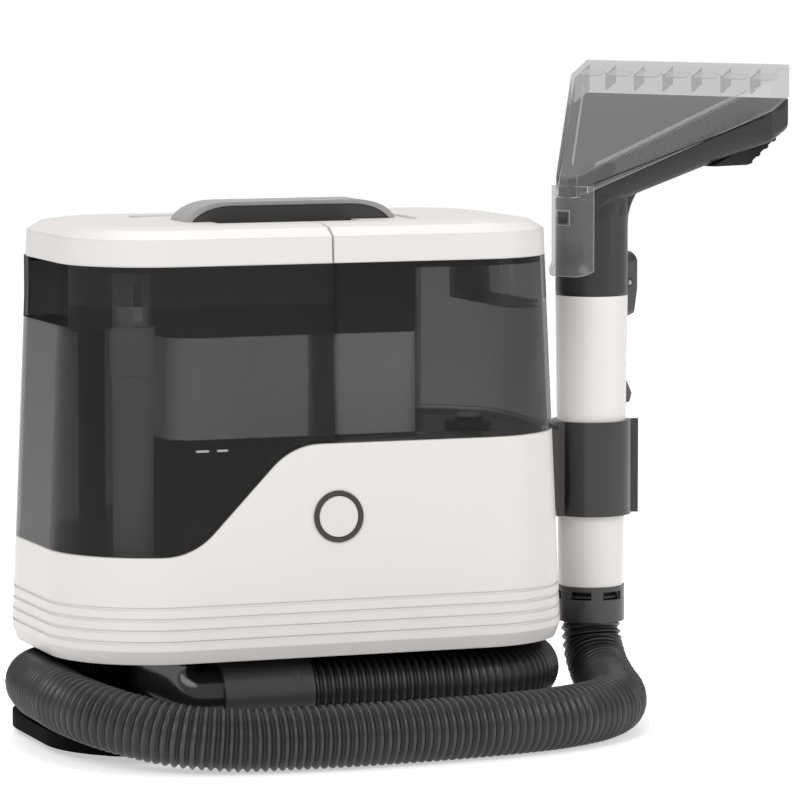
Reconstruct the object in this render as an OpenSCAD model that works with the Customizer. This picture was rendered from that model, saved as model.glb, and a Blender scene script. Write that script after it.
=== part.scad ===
// Spot extractor: a portable machine that sprays and sucks stains out of fabric.
// Millimetres. Z is up and the floor is z = 0. The hand tool stands at the right (+X) end,
// the front of the machine faces -Y.

/* [Body] */
// Length of the housing at its bottom edge
body_l = 320; // [310:1:330]
// Depth of the housing at its bottom edge
body_d = 194; // [188:1:204]
// Corner radius of the housing at its bottom edge
corner_r = 66; // [62:1:68]
// How far each side leans in, for each mm of height
side_lean = 0.044; // [0.036:0.002:0.05]
// Height of the housing's bottom edge above the floor
ground_gap = 57; // [56:0.5:60]
// Height of the low rim, at the left end, above the bottom edge
low_rim_h = 62; // [58:1:66]
// Height of the high rim, at the right end, above the bottom edge
high_rim_h = 124.5; // [120:0.5:130]
// Height of the tanks' top edge above the housing's bottom edge
tank_top_h = 229.5; // [226:0.5:236]
// Wall of the housing
shell_t = 3; // [2.6:0.1:3.4]
// Height of the tucked-in band at the bottom edge
lip_h = 8; // [6:0.5:10]
// How far that band tucks in
lip_in = 3.4; // [2.6:0.2:4]
// Place of the rim's S-bend along the machine
curve_x = -58; // [-62:1:-54]
// Radius of both arcs of the S-bend
curve_r = 42; // [36:1:44]
// Slope of the straight between the arcs
curve_a = 45.5; // [42:0.5:48]
// Number of grooves round the housing
groove_count = 4; // [3:1:4]
// Height of the first groove above the bottom edge
groove_h = 12; // [11:0.5:14]
// Distance from groove to groove
groove_pitch = 6.6; // [6:0.2:7]
// Height of one groove
groove_w = 1.6; // [1.2:0.1:2]
// Depth of one groove
groove_depth = 0.9; // [0.6:0.1:1.2]
// Depth to which the full-depth end of the dirty tank sinks into the housing
nest_low = 24; // [20:1:26]
// Depth to which the clean tank sinks into the housing
nest_high = 4; // [3:0.5:6]
// How far the floor's S-bend lies to the right of the rim's
floor_shift = 16; // [14:1:17]
// Thickness of the sloping floor that carries the tanks
floor_t = 3; // [2.6:0.1:3.4]

/* [Tower] */
// Place of the tower's centre along the machine
tower_x = -8; // [-9:0.5:-7]
// Length of the tower between the tanks
tower_l = 156; // [153:1:158]
// Depth of the tower
tower_d = 90; // [86:1:92]
// Radius of the tower's upright corners
tower_r = 14; // [12:1:16]
// Wall of the tower's shells
tower_t = 3; // [2.5:0.1:3.5]
// Height of the floor of the hand well above the housing's bottom edge
well_floor_h = 184.5; // [180:0.5:190]
// Height of the hand well's edge above the tanks' top edge
well_edge_h = 15.5; // [14:0.5:17]
// Length of the solid blocks at the two ends of the hand well
well_block = 34; // [33:1:36]
// Depth of the handle's seats below the tanks' top edge
seat_drop = 2.5; // [2:0.5:4]

/* [Tanks] */
// Wall of both tanks
tank_t = 2.5; // [2.2:0.1:2.8]
// Gap between the two tanks, where they meet
seam_gap = 1.2; // [0.8:0.1:1.6]
// Place of the seam between the tanks along the machine
seam_x = -0.5; // [-2:0.5:1]
// Gap all round between a tank and what it lifts out of
tank_gap = 0.6; // [0.5:0.1:0.8]
// Gap between the dirty tank's wall and the rim under it
rim_gap = 0.5; // [0.4:0.1:0.8]
// Gap between a tank's notch and the tower
notch_gap = 1.2; // [1:0.1:1.6]
// Depth of the grip pockets in the tanks' ends, as a share of the room beside the tower
pocket_share = 0.325; // [0.28:0.005:0.35]
// Half of the grip pockets' width
pocket_half = 46; // [40:1:50]
// Height of the dirty tank's grip pocket
pocket_h = 36; // [32:1:40]
// Height of the clean tank's grip pocket
pocket_clean_h = 30; // [26:1:34]
// The riser tube's distance from the tower, as a share of the room beside it
riser_share = 0.38; // [0.36:0.01:0.42]
// The riser tube's distance from the machine's back
riser_back = 73; // [70:1:76]
// Outer radius of the riser tube
riser_r = 8; // [7:0.5:9]
// Depth of the riser tube's mouth below the tanks' top edge
riser_drop = 15; // [11:1:21]
// The standpipe's distance from the tower, as a share of the room beside it
pipe_share = 0.32; // [0.31:0.005:0.34]
// The standpipe's distance from the machine's front
pipe_front = 53; // [50:1:56]
// Outer radius of the standpipe
pipe_r = 12; // [11:0.5:12]
// Depth of the float cage's top below the tanks' top edge
cage_drop = 6; // [6:0.5:9]
// Height of the wider cap on the standpipe
cap_h = 28; // [24:1:30]
// How far the cap stands out round the standpipe
cap_out = 1.2; // [0.8:0.1:1.4]
// Height of the float's cage on the cap
cage_h = 31; // [28:1:31]
// Outer radius of the float's cage
cage_r = 11; // [10:0.5:12]
// Height of the float
float_h = 12; // [10:1:14]
// Travel of the float
float_travel = 12; // [8:1:14]
// Place of the clean tank's valve [x, y]
valve_at = [113, -10];
// Radius of the valve's flange
valve_r = 14; // [12:0.5:15]
// Radius of the valve's plunger
plunger_r = 5; // [4:0.5:6]

/* [Lids] */
// Height of a lid's upright wall
lid_wall_h = 15.5; // [14:0.5:17]
// Height of a lid's rounded shoulder
lid_round_h = 5; // [4:0.5:6]
// How far the shoulder runs in
lid_round_in = 8; // [6:0.5:9]
// Rise of the lid's top from the shoulder's end
lid_crown_h = 1.5; // [1:0.25:2]
// How far in the crown runs
lid_crown_in = 12; // [10:1:14]
// Wall of the lids
lid_t = 2.5; // [2:0.1:3]
// Thickness of the seal plate under a lid
seal_t = 4; // [3:0.5:5]

/* [Handle] */
// Length of the handle
handle_l = 133; // [130:1:136]
// Place of the handle's centre along the machine
handle_x = -1.5; // [-3:0.5:0]
// Width of the handle
handle_w = 30; // [26:1:34]
// Height of the handle's top above the lids
handle_rise = 10.5; // [9:0.5:14]
// Thickness of the grip
handle_t = 18; // [16:1:20]
// Length of each foot of the handle
handle_foot = 15; // [13:1:16]
// Run of the rounded ends
handle_run = 26; // [22:1:30]
// Thickness of the cap over the grip
handle_cap_t = 2.4; // [2:0.1:3]

/* [Switch] */
// Height of the button above the housing's bottom edge
button_h = 82; // [76:1:86]
// Radius of the ring round the button
ring_r = 15; // [13:0.5:16]
// Radius of the button
button_r = 12; // [10:0.5:12.5]
// Travel of the button
button_travel = 2; // [1:0.5:3]
// Gap round the button
button_gap = 0.35; // [0.25:0.05:0.5]

/* [Base] */
// Height of the rubber feet
foot_h = 4; // [3:0.5:4.5]
// Radius of the rubber feet
foot_r = 11; // [9:0.5:13]
// Thickness of the base plate
plate_t = 8; // [7:0.5:8.5]
// Height of the raised edge round the base plate
plate_rim_h = 1.2; // [0.8:0.1:1.4]
// Width of that raised edge
plate_rim_w = 4; // [3:0.5:6]
// Length of the column that the hose is wound round
column_l = 196; // [186:1:198]
// How far the column's front stands in from the machine's front
column_in = 53; // [52:1:57]
// Place of the column's centre along the machine
column_x = 4; // [0:1:6]
// Wall of the column
column_t = 4; // [3:0.5:5]
// Thickness of the pan that closes the housing
pan_t = 3; // [2.5:0.1:3.5]

/* [Hose] */
// Outer diameter of the hose, over its ribs
hose_d = 37; // [36:0.5:37]
// Bore of the hose
hose_bore = 29; // [26:0.5:30]
// Height of a rib over the valley beside it
rib_h = 2; // [1.4:0.1:2.4]
// Number of ribs
rib_count = 196; // [150:1:200]
// Wall of the cuffs at the hose's ends
cuff_t = 2.2; // [2:0.1:2.4]
// Length of the cuff on the elbow
cuff_l = 55; // [50:1:56]
// Height of the cuff under the wand
hose_cuff_h = 22; // [20:0.5:24]
// Outer radius of the elbow
elbow_r = 18; // [17:0.5:18.5]
// Wall of the elbow
elbow_t = 2.6; // [2:0.1:3]
// Bend radius of the elbow
elbow_bend = 22; // [21:0.5:23]

/* [Wand] */
// Distance of the wand's centre from the housing's end
wand_out = 42; // [40:1:46]
// Place of the wand's axis across the machine
wand_y = 10; // [6:1:12]
// Height of the wand tube's bottom end above the floor
wand_z = 77; // [76:0.5:79]
// Length of the wand tube
wand_l = 179; // [175:1:183]
// Outer radius of the wand tube at its bottom
wand_r_low = 20; // [19.5:0.25:20.5]
// Outer radius of the wand tube at its top
wand_r_top = 22.2; // [21.6:0.1:22.6]
// Bore radius of the wand tube
wand_bore_r = 17.6; // [17:0.1:18]
// Height above the floor of the clip's bottom edge
clip_z = 121; // [118:1:124]
// Height of the clip
clip_h = 58; // [54:1:60]
// Wall of the clip
clip_t = 3; // [2.5:0.1:3.5]
// Gap between the clip and the wand's widest place in it
clip_gap = 0.4; // [0.3:0.1:0.6]
// Half of the clip's open angle
clip_open = 38; // [34:1:44]
// Direction of the clip's opening
clip_dir = 36; // [30:1:44]
// Height above the floor of the trigger's lower end
trigger_z = 186; // [184:1:188]
// Height of the trigger
trigger_h = 26; // [24:1:28]
// How far the trigger's nose stands out from the wand's axis
trigger_out = 34; // [31:0.5:36]
// Width of the trigger
trigger_w = 10; // [8:0.5:12]
// Direction in which the nozzle reaches out, from +X
bend_a = 29; // [26:1:32]

/* [Nozzle] */
// Outer radius of the nozzle's neck
neck_r = 22.2; // [21.6:0.1:22.6]
// Length of the spigot that goes into the wand
spigot_l = 30; // [26:1:34]
// Height of the cover's front edge above the wand's top
face_low_h = 74; // [70:1:78]
// Reach of the mouth from the wand's axis
mouth_x = 95; // [90:1:100]
// Rise of the cover's face for each mm of reach
face_rise = 0.552; // [0.5:0.01:0.6]
// Width of the mouth
mouth_w = 159; // [150:1:165]
// Width of the cover at the neck
apex_w = 16; // [14:1:22]
// Length of the fan's parallel end
parallel_l = 16; // [12:1:20]
// Thickness of the fan at the neck
fan_low_t = 29; // [27:1:31]
// Thickness of the fan at the mouth
fan_high_t = 41; // [38:1:44]
// Height of the clear cover's side walls at the neck
skirt_low_h = 14; // [12:1:17]
// Height of the clear cover's side walls at the mouth
skirt_h = 20; // [18:1:22]
// Wall of the clear cover
cover_t = 2.2; // [1.8:0.1:2.6]
// Gap between the clear cover and the body in it
cover_gap = 0.5; // [0.4:0.1:0.8]
// Height of the air channel at the mouth
channel_h = 14; // [12:0.5:15]
// How far before the mouth the body's deck ends
deck_back = 22; // [18:1:26]
// Radius of the bend from the neck to the fan's underside
neck_flare_r = 35; // [30:1:38]
// Number of ribs across the mouth
mouth_ribs = 6; // [4:1:8]
// Height of the brush pad under the fan
pad_h = 12; // [10:1:14]
// Number of nubs in a row of the brush pad
nub_count = 11; // [7:1:13]
// Number of rows of nubs
nub_rows = 4; // [2:1:4]

/* [Inside] */
// Radius of the suction motor
motor_r = 36; // [32:1:38]
// Height of the suction motor
motor_h = 60; // [54:1:62]
// Radius of the motor's shaft
shaft_r = 4; // [3:0.5:5]
// Radius of the fan wheel
wheel_r = 37; // [34:1:38]
// Number of blades on the fan wheel
blade_count = 8; // [6:1:12]
// Radius of the water pump
pump_r = 16; // [13:1:18]
// Height of the water pump
pump_h = 39; // [34:1:44]
// Radius of the power lead's bore
lead_r = 3.6; // [3:0.1:4]
// Radius of the screws
screw_r = 2; // [1.6:0.1:2.4]

/* [Hidden] */

$fn = 64;
eps = 0.01;
fit = 0.05;      // running clearance round a shaft or pin
seat = 0.3;      // clearance round a piece that is only put in
curve_steps = 8;

z_base = ground_gap;
z_low = z_base + low_rim_h;
z_high = z_base + high_rim_h;
z_lid = z_base + tank_top_h;
z_crown = z_lid + lid_wall_h + lid_round_h;
z_top = z_crown + lid_crown_h;
z_floor_low = z_low - nest_low;
z_floor_high = z_high - nest_high;
z_well = z_base + well_floor_h;
z_well_edge = z_lid + well_edge_h;
z_seat = z_lid - seat_drop;
z_handle = z_top + handle_rise;
z_plate = foot_h + plate_t;
z_pan = z_base + 1;
z_pan_top = z_pan + pan_t;
corner_x = body_l / 2 - corner_r;
corner_y = body_d / 2 - corner_r;
wand_x = body_l / 2 + wand_out;
lean_a = atan(side_lean);
nest_in = shell_t + tank_gap;
tower_x0 = tower_x - tower_l / 2;
tower_x1 = tower_x + tower_l / 2;
handle_x0 = handle_x - handle_l / 2;
handle_x1 = handle_x + handle_l / 2;
end_room = body_l / 2 + tower_x0;
pocket_in = pocket_share * end_room;
riser_at = [tower_x0 - riser_share * end_room, body_d / 2 - riser_back];
pipe_at = [tower_x0 - pipe_share * end_room, pipe_front - body_d / 2];
elbow_at = [-102, 28 - body_d / 2];
column_d = body_d - 2 * column_in;
floor_x = curve_x + floor_shift;
hose_in = 13;
post_x = -elbow_at[0] - 30;
post_y = body_d / 2 - 21;
post_r = 5;
hose_r = hose_d / 2;
cuff_bore_r = hose_r + 0.2;
cuff_r = cuff_bore_r + cuff_t;
wand_top = wand_z + wand_l;
clip_r = wand_r_low + (wand_r_top - wand_r_low) * (clip_z + clip_h - wand_z) / wand_l + clip_gap;
apex_x = -neck_r - cover_gap - cover_t;
side_slope = (mouth_w - apex_w) / 2 / (mouth_x - parallel_l - apex_x);
mouth_far = sqrt(mouth_x * mouth_x + mouth_w * mouth_w / 4);
mouth_turn = atan(mouth_w / 2 / mouth_x);
frame_x = (wand_x + mouth_far * cos(bend_a - mouth_turn) - body_l / 2) / 2;
frame_y = (wand_y + mouth_far * sin(bend_a + mouth_turn) - body_d / 2) / 2;

white = "#ebe7e2";
dark = "#35363a";
black = "#1d1e20";
smoke = [0.25, 0.26, 0.28, 0.45];
clear = [0.8, 0.83, 0.86, 0.35];
grey = "#6a6764";
steel = "#9a9da1";

// ---------------------------------------------------------------- shapes

function plan_r(z, inset) = corner_r - side_lean * (z - z_base) - inset;
function half_l(z) = corner_x + plan_r(z, 0);
function half_d(z) = corner_y + plan_r(z, 0);

// A slice of the leaning body, from za to zb, drawn in by in_a below and in_b above
module block(za, zb, in_a = 0, in_b = 0) {
    ra = plan_r(za, in_a);
    rb = plan_r(zb, in_b);
    for (x = [-corner_x, corner_x], y = [-corner_y, corner_y])
        translate([x, y, za]) cylinder(h = zb - za, r1 = ra, r2 = rb);
    rotate([90, 0, 90]) translate([0, 0, -corner_x]) linear_extrude(2 * corner_x)
        polygon([[-corner_y - ra, za], [corner_y + ra, za], [corner_y + rb, zb], [-corner_y - rb, zb]]);
    rotate([90, 0, 0]) translate([0, 0, -corner_y]) linear_extrude(2 * corner_y)
        polygon([[-corner_x - ra, za], [corner_x + ra, za], [corner_x + rb, zb], [-corner_x - rb, zb]]);
}

// A box between two corners
module slab(low, high) translate(low) cube(high - low);

// An upright prism on a rectangle with round corners
module prism(l, d, r, za, zb) translate([0, 0, za]) linear_extrude(zb - za) {
    square([l - 2 * r, d], center = true);
    square([l, d - 2 * r], center = true);
    for (x = [-1, 1], y = [-1, 1]) translate([x * (l / 2 - r), y * (d / 2 - r)]) circle(r);
}

// The tower's plan between two heights, drawn in by inset
module tower(za, zb, inset = 0) translate([tower_x, 0, 0])
    prism(tower_l - 2 * inset, tower_d - 2 * inset, tower_r - inset, za, zb);

// Points of an S-bend that rises from za to zb about x = xm
function s_bend(za, zb, xm) =
    let (bow = curve_r * (1 - cos(curve_a)),
         half = curve_r * sin(curve_a) + (zb - za - 2 * bow) / 2 / tan(curve_a))
    concat(
        [for (i = [0:curve_steps]) let (a = curve_a * i / curve_steps)
            [xm - half + curve_r * sin(a), za + curve_r * (1 - cos(a))]],
        [for (i = [curve_steps:-1:0]) let (a = curve_a * i / curve_steps)
            [xm + half - curve_r * sin(a), zb - curve_r * (1 - cos(a))]]);

// Everything under that S-bend, from front to back
module under_bend(za, zb, xm, dz = 0) rotate([90, 0, 0]) translate([0, 0, -body_d])
    linear_extrude(2 * body_d) polygon(concat([[-body_l, 0], [-body_l, za + dz]],
        [for (p = s_bend(za, zb, xm)) [p[0], p[1] + dz]], [[body_l, zb + dz], [body_l, 0]]));

// A frame on the front (side = -1) or back (side = 1) wall, with +Z pointing out of the wall
module on_wall(x, z, side) translate([x, side * half_d(z), z])
    rotate([side < 0 ? 90 - lean_a : lean_a - 90, 0, 0]) children();

module ring(r_out, r_in, za, zb) difference() {
    translate([0, 0, za]) cylinder(h = zb - za, r = r_out);
    translate([0, 0, za - 1]) cylinder(h = zb - za + 2, r = r_in);
}

module rod(r, za, zb) translate([0, 0, za]) cylinder(h = zb - za, r = r);

// A round bar between two points that lie at one height
module bar(a, b, r) translate(a) rotate([0, 90, atan2(b[1] - a[1], b[0] - a[0])])
    cylinder(h = norm(b - a), r = r);

// ---------------------------------------------------------------- base

module base_plate() color(black) difference() {
    prism(body_l, body_d, corner_r, foot_h, z_plate + plate_rim_h);
    prism(body_l - 2 * plate_rim_w, body_d - 2 * plate_rim_w, corner_r - plate_rim_w,
        z_plate, z_plate + plate_rim_h + 1);
}

foot_x = 122;
foot_y = 52;
module rubber_feet() color(black)
    for (x = [-foot_x, foot_x], y = [-foot_y, foot_y]) translate([x, y, 0]) rod(foot_r, 0, foot_h);

column_r = column_d / 2 - 2;
module base_column() color(black) translate([column_x, 0, 0]) difference() {
    prism(column_l, column_d, column_r, z_plate, z_pan);
    prism(column_l - 2 * column_t, column_d - 2 * column_t, column_r - column_t, z_plate - 1, z_pan + 1);
}

pan_in = lip_in + shell_t + seat;
module under_pan() color(black) difference() {
    block(z_pan, z_pan_top, pan_in, pan_in);
    translate(elbow_at) rod(elbow_r + seat, z_pan - 1, z_pan_top + 1);
    pan_screw_places() rod(screw_r + fit, z_pan - 1, z_pan_top + 1);
}

module pan_screw_places()
    for (x = [-post_x, post_x], y = [-post_y, post_y]) translate([x, y, 0]) children();

pan_screw_l = 12;
module pan_screws() color(steel) pan_screw_places() {
    rod(screw_r, z_pan, z_pan + pan_screw_l);
    rod(screw_r * 2, z_pan - screw_r, z_pan);
}

// ---------------------------------------------------------------- housing

module housing_skin() {
    difference() {
        union() {
            block(z_base, z_base + lip_h, lip_in, 0);
            block(z_base + lip_h, z_high, 0, 0);
        }
        block(z_base - 1, z_base + lip_h, lip_in + shell_t, shell_t);
        block(z_base + lip_h - 1, z_high + 1, shell_t, shell_t);
        for (i = [0:groove_count - 1]) groove(z_base + groove_h + i * groove_pitch);
    }
}

module groove(z) difference() {
    block(z, z + groove_w, -1, -1);
    block(z - 1, z + groove_w + 1, groove_depth, groove_depth);
}

module housing_floor() intersection() {
    block(z_base + lip_h, z_high, shell_t / 2, shell_t / 2);
    difference() {
        under_bend(z_floor_low, z_floor_high, floor_x);
        under_bend(z_floor_low, z_floor_high, floor_x, -floor_t);
    }
}

module housing_posts() intersection() {
    pan_screw_places() ring(post_r, screw_r + fit, z_pan_top, z_high);
    under_bend(z_floor_low, z_floor_high, floor_x, -floor_t / 2);
}

module housing() color(white) difference() {
    union() {
        intersection() {
            housing_skin();
            under_bend(z_low, z_high, curve_x);
        }
        housing_floor();
        housing_posts();
    }
    tower(z_base, z_high + 1, -seat);
    translate(riser_at) rod(duct_r + seat, z_base + lip_h, z_low);
    translate(pipe_at) rod(air_r + seat, z_base + lip_h, z_low);
    translate(valve_at) rod(socket_r + seat, z_low, z_high);
    on_wall(0, z_button, -1) rod(ring_r + 0.1, -shell_t * 2, shell_t);
    on_wall(grille_x, z_grille, 1) translate([0, 0, -shell_t * 2])
        linear_extrude(shell_t * 3) square([grille_l - 8, grille_h - 8], center = true);
    on_wall(inlet_x, z_inlet, 1) {
        rod(inlet_r + 0.1, -inlet_cut, shell_t);
        translate([-inlet_r - 0.1, 0, -inlet_cut]) cube([2 * inlet_r + 0.2, z_inlet - z_base + 2, inlet_cut + shell_t]);
    }
    clip_screw_places() rotate([0, 90, 0]) rod(screw_r + fit, -4, 10);
}

// ---------------------------------------------------------------- tower

module motor_box() color(black) difference() {
    tower(z_pan_top, z_high);
    tower(z_pan_top - 1, z_high - tower_t, tower_t);
    bar([pipe_at[0], pipe_at[1], z_duct], air_to, air_pipe_r + seat);
    translate([tower_x, tower_d / 2, z_pan_top + 20]) cube([60, tower_t * 3, 20], center = true);
}

module tower_cover() color(grey) difference() {
    tower(z_high, z_well);
    tower(z_high - 1, z_well - tower_t, tower_t);
}

module hand_well() color(dark) difference() {
    tower(z_well, z_well_edge);
    tower(z_seat, z_well_edge + 1, tower_t);
    translate([tower_x, 0, 0])
        prism(tower_l - 2 * well_block, tower_d - 2 * tower_t, tower_r - tower_t, z_well + tower_t, z_well_edge + 1);
    handle_screw_places() rod(screw_r + fit, z_well - 1, z_seat + 1);
}

// The handle's outline, drawn in by inset: a low arch with round ends
function arch(x0, x1, za, zb, run, rise) = concat(
    [[x0, za]],
    [for (i = [0:curve_steps]) let (a = 90 * i / curve_steps)
        [x0 + run * (1 - cos(a)), zb - rise * (1 - sin(a))]],
    [for (i = [curve_steps:-1:0]) let (a = 90 * i / curve_steps)
        [x1 - run * (1 - cos(a)), zb - rise * (1 - sin(a))]],
    [[x1, za]]);

// The rim round the hand well, with a plate at each end that meets the handle's feet
z_trim = z_top - 1;
module well_trim() color(white) difference() {
    tower(z_well_edge, z_trim);
    tower(z_well_edge - 1, (z_well_edge + z_trim) / 2, tower_t);
    translate([tower_x, 0, 0])
        prism(tower_l - 2 * well_block, tower_d - 2 * tower_t, tower_r - tower_t, z_well_edge, z_top);
    across(handle_w + 2 * seat) handle_outer(-seat);
}

handle_rise_r = 15;
module across(w) rotate([90, 0, 0]) translate([0, 0, -w / 2]) linear_extrude(w) children();

module handle_outer(inset) polygon(arch(handle_x0 + inset, handle_x1 - inset, z_seat,
    z_handle - inset, handle_run, handle_rise_r));

module handle_hole(grow) polygon(arch(handle_x0 + handle_foot - grow, handle_x1 - handle_foot + grow,
    z_seat - 1, z_handle - handle_t + grow, handle_run - 6, handle_rise_r - 5));

module handle_grip() color(dark) difference() {
    across(handle_w - 1.6) difference() {
        handle_outer(handle_cap_t);
        handle_hole(0);
    }
    handle_screw_places() rod(screw_r + fit, z_seat - 1, z_seat + handle_screw_in + 1);
}

module handle_cap() color(dark) across(handle_w) difference() {
    handle_outer(0);
    handle_outer(handle_cap_t);
    translate([handle_x - handle_l, 0]) square([2 * handle_l, z_seat + 8]);
}

handle_screw_in = 8;
module handle_screw_places()
    for (x = [handle_x0 + handle_foot / 2 + 1, handle_x1 - handle_foot / 2 - 1], y = [-8, 8])
        translate([x, y, 0]) children();

module handle_screws() color(steel) handle_screw_places()
    rod(screw_r, z_seat - 12, z_seat + handle_screw_in);

// ---------------------------------------------------------------- switch

z_button = z_base + button_h;
ring_out = 1.2;
cup_l = 20;
cup_t = 2.4;
stem_r = 3;

module button_ring() color(dark) on_wall(0, z_button, -1) {
    difference() {
        union() {
            rod(ring_r, -shell_t - 1, ring_out);
            rod(button_r + cup_t, -cup_l, -shell_t);
            rod(ring_r + 2, -shell_t - 2.5, -shell_t - 0.2);
        }
        rod(button_r + button_gap, cup_t - cup_l, ring_out + 1);
        rod(stem_r + button_gap, -cup_l - 1, 0);
    }
}

module power_button() color(white) on_wall(0, z_button, -1) {
    rod(button_r, -7, 0.6);
    rod(stem_r, -cup_l - 1, -7 + eps);
}

switch_l = 12;
module button_switch() color(black) on_wall(0, z_button, -1) difference() {
    translate([-8, -8, -cup_l - switch_l]) cube([16, 16, switch_l]);
    rod(stem_r + button_gap, -cup_l - 1 - button_travel - 0.5, -cup_l + 1);
}

board_gap = 4;
board_l = tower_l - 56;
board_h = 42;
module control_board() color("#2f5d46") translate([tower_x, tower_t - tower_d / 2, 0]) {
    translate([-board_l / 2, board_gap, z_high + 8]) cube([board_l, 1.6, board_h]);
    for (x = [8 - board_l / 2, board_l / 2 - 8], z = [14, board_h]) translate([x, 0, z_high + z]) rotate([-90, 0, 0])
        cylinder(h = board_gap + eps, r = 3);
    for (x = [-34, -6, 20]) translate([x, board_gap + 1.5, z_high + 16]) cube([16, 10, 22]);
}

// ---------------------------------------------------------------- inside

z_motor = z_pan_top + 17;
z_scroll = z_motor + motor_h;
scroll_h = 34;
scroll_t = 2;

module at_motor() translate([tower_x, 0, 0]) children();

module motor_mounts() color(black) at_motor() {
    ring(motor_r + 2, motor_r - 8, z_motor - 6, z_motor);
    for (a = [0:120:240]) rotate(a) translate([motor_r - 3, 0, 0]) rod(4, z_pan_top, z_motor - 6 + eps);
}

module suction_motor() color(steel) at_motor() difference() {
    union() {
        rod(motor_r, z_motor, z_scroll);
        rod(motor_r - 14, z_motor - 8, z_motor + eps);
    }
    rod(shaft_r + fit, z_scroll - 22, z_scroll + 1);
}

module motor_shaft() color(steel) at_motor() rod(shaft_r, z_scroll - 21.5, z_scroll + scroll_h - 8);

module fan_wheel() color(grey) at_motor() difference() {
    union() {
        rod(wheel_r, z_scroll + 8, z_scroll + 10);
        rod(shaft_r + 4, z_scroll + 8, z_scroll + 24);
        for (i = [0:blade_count - 1]) rotate(i * 360 / blade_count)
            slab([shaft_r + 3, -0.8, z_scroll + 9], [wheel_r - 2, 0.8, z_scroll + 24]);
    }
    rod(shaft_r, z_scroll, z_scroll + 30);
}

module fan_housing() color(black) at_motor() difference() {
    rod(wheel_r + 4, z_scroll, z_scroll + scroll_h);
    rod(wheel_r + 4 - scroll_t, z_scroll + scroll_t, z_scroll + scroll_h - scroll_t);
    rod(shaft_r + 2, z_scroll - 1, z_scroll + scroll_t + 1);
    rod(14, z_scroll + scroll_h - scroll_t - 1, z_scroll + scroll_h + 1);
}

grille_x = 30;
grille_l = 76;
grille_h = 40;
grille_slots = 8;
grille_t = 2.4;
z_grille = z_high - 58.5;
module exhaust_grille() color(white) on_wall(grille_x, z_grille, 1) difference() {
    union() {
        linear_extrude(grille_t) square([grille_l, grille_h], center = true);
        translate([0, 0, -shell_t]) linear_extrude(shell_t + eps)
            square([grille_l - 8.6, grille_h - 8.6], center = true);
    }
    for (i = [0:grille_slots - 1]) translate([(i - (grille_slots - 1) / 2) * 8, 0, -shell_t - 1])
        linear_extrude(shell_t + grille_t + 2) square([3, grille_h - 16], center = true);
}

inlet_x = 83;
inlet_r = 6.5;
inlet_l = 14;
z_inlet = z_base + 34;
inlet_cut = shell_t + lip_in + 1;
inlet_step = z_inlet - z_base - lip_h;
module cord_inlet() color(black) on_wall(inlet_x, z_inlet, 1) difference() {
    union() {
        rod(inlet_r, -inlet_l + 3, 1);
        rod(inlet_r + 2.5, 0, 3);
        rod(inlet_r + 2, -shell_t - 3, -shell_t - 0.2);
        // the tail that closes the slot in the housing below the inlet
        translate([-inlet_r, 0, -shell_t]) cube([2 * inlet_r, inlet_step, shell_t - 0.2]);
        translate([-inlet_r, inlet_step - 2, -shell_t - lip_in]) cube([2 * inlet_r, 2 + eps, shell_t + lip_in - 0.2]);
        translate([-inlet_r, inlet_step, -shell_t - lip_in]) cube([2 * inlet_r, lip_h - 0.5, shell_t - 0.2]);
    }
    rod(lead_r, -inlet_l, 4);
}

module water_pump() color(black) translate(valve_at) {
    rod(pump_r, z_pan_top, z_pan_top + pump_h);
    rod(6, z_pan_top + pump_h - 1, z_pan_top + pump_h + 6);
    slab([-pump_r - 2, -pump_r + 3, z_pan_top], [pump_r + 2, pump_r - 3, z_pan_top + 12]);
}

feed_r = 4;
socket_r = 12;
socket_low = 18;
module feed_tube() color(clear) translate(valve_at)
    ring(feed_r, feed_r - 1.5, z_pan_top + pump_h + 6, z_floor_high - socket_low - 8);

module valve_socket() color(black) translate(valve_at) {
    difference() {
        union() {
            rod(socket_r, z_floor_high - socket_low, z_floor_high - seat);
            rod(socket_r + 3, z_floor_high - floor_t - 3, z_floor_high - floor_t);
            rod(feed_r + 2, z_floor_high - socket_low - 8, z_floor_high - socket_low + eps);
        }
        rod(socket_r - 3, z_floor_high - socket_low + 3, z_floor_high + 1);
        rod(feed_r - 1.5, z_floor_high - socket_low - 9, z_floor_high - socket_low + 4);
    }
    slab([-socket_r + 2, -1, z_floor_high - 8], [socket_r - 2, 1, z_floor_high - 5]);
    rod(1.5, z_floor_high - 6, z_floor_high - 1);
}

line_r = 3;
z_line = z_pan_top + 14;
line_y = elbow_at[1] + 9;
line_path = [[valve_at[0], valve_at[1] - pump_r, z_line], [valve_at[0], line_y, z_line],
    [elbow_at[0] + elbow_r + line_r + 1, line_y, z_line]];
module solution_line() color(clear) {
    for (i = [0, 1]) bar(line_path[i], line_path[i + 1], line_r);
    for (i = [1, 2]) translate(line_path[i]) sphere(line_r + 0.4);
}

z_duct = z_base + 22;
duct_r = 10;
duct_t = 2;
duct_knees = [[tower_x0 - 0.595 * end_room, elbow_at[1] + 4],
    [tower_x0 - 0.74 * end_room, pipe_at[1] + 6], [tower_x0 - 0.7 * end_room, riser_at[1] - 22]];
module duct_run(r) {
    path = [for (p = concat([elbow_at], duct_knees, [riser_at])) [p[0], p[1], z_duct]];
    for (i = [0:len(path) - 2]) bar(path[i], path[i + 1], r);
    for (p = path) translate(p) rod(r + 0.6, -r - 0.6, r + 0.6);
}

module suction_duct() color(black) difference() {
    union() {
        duct_run(duct_r);
        translate(elbow_at) rod(duct_r + 4, z_elbow_top, z_duct);
        translate(riser_at) rod(duct_r, z_duct, z_floor_low - seat);
    }
    duct_run(duct_r - duct_t);
    translate(elbow_at) rod(duct_r - duct_t, z_elbow_top - 1, z_duct);
    translate(riser_at) rod(duct_r - duct_t, z_duct, z_floor_low + 1);
}

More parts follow.
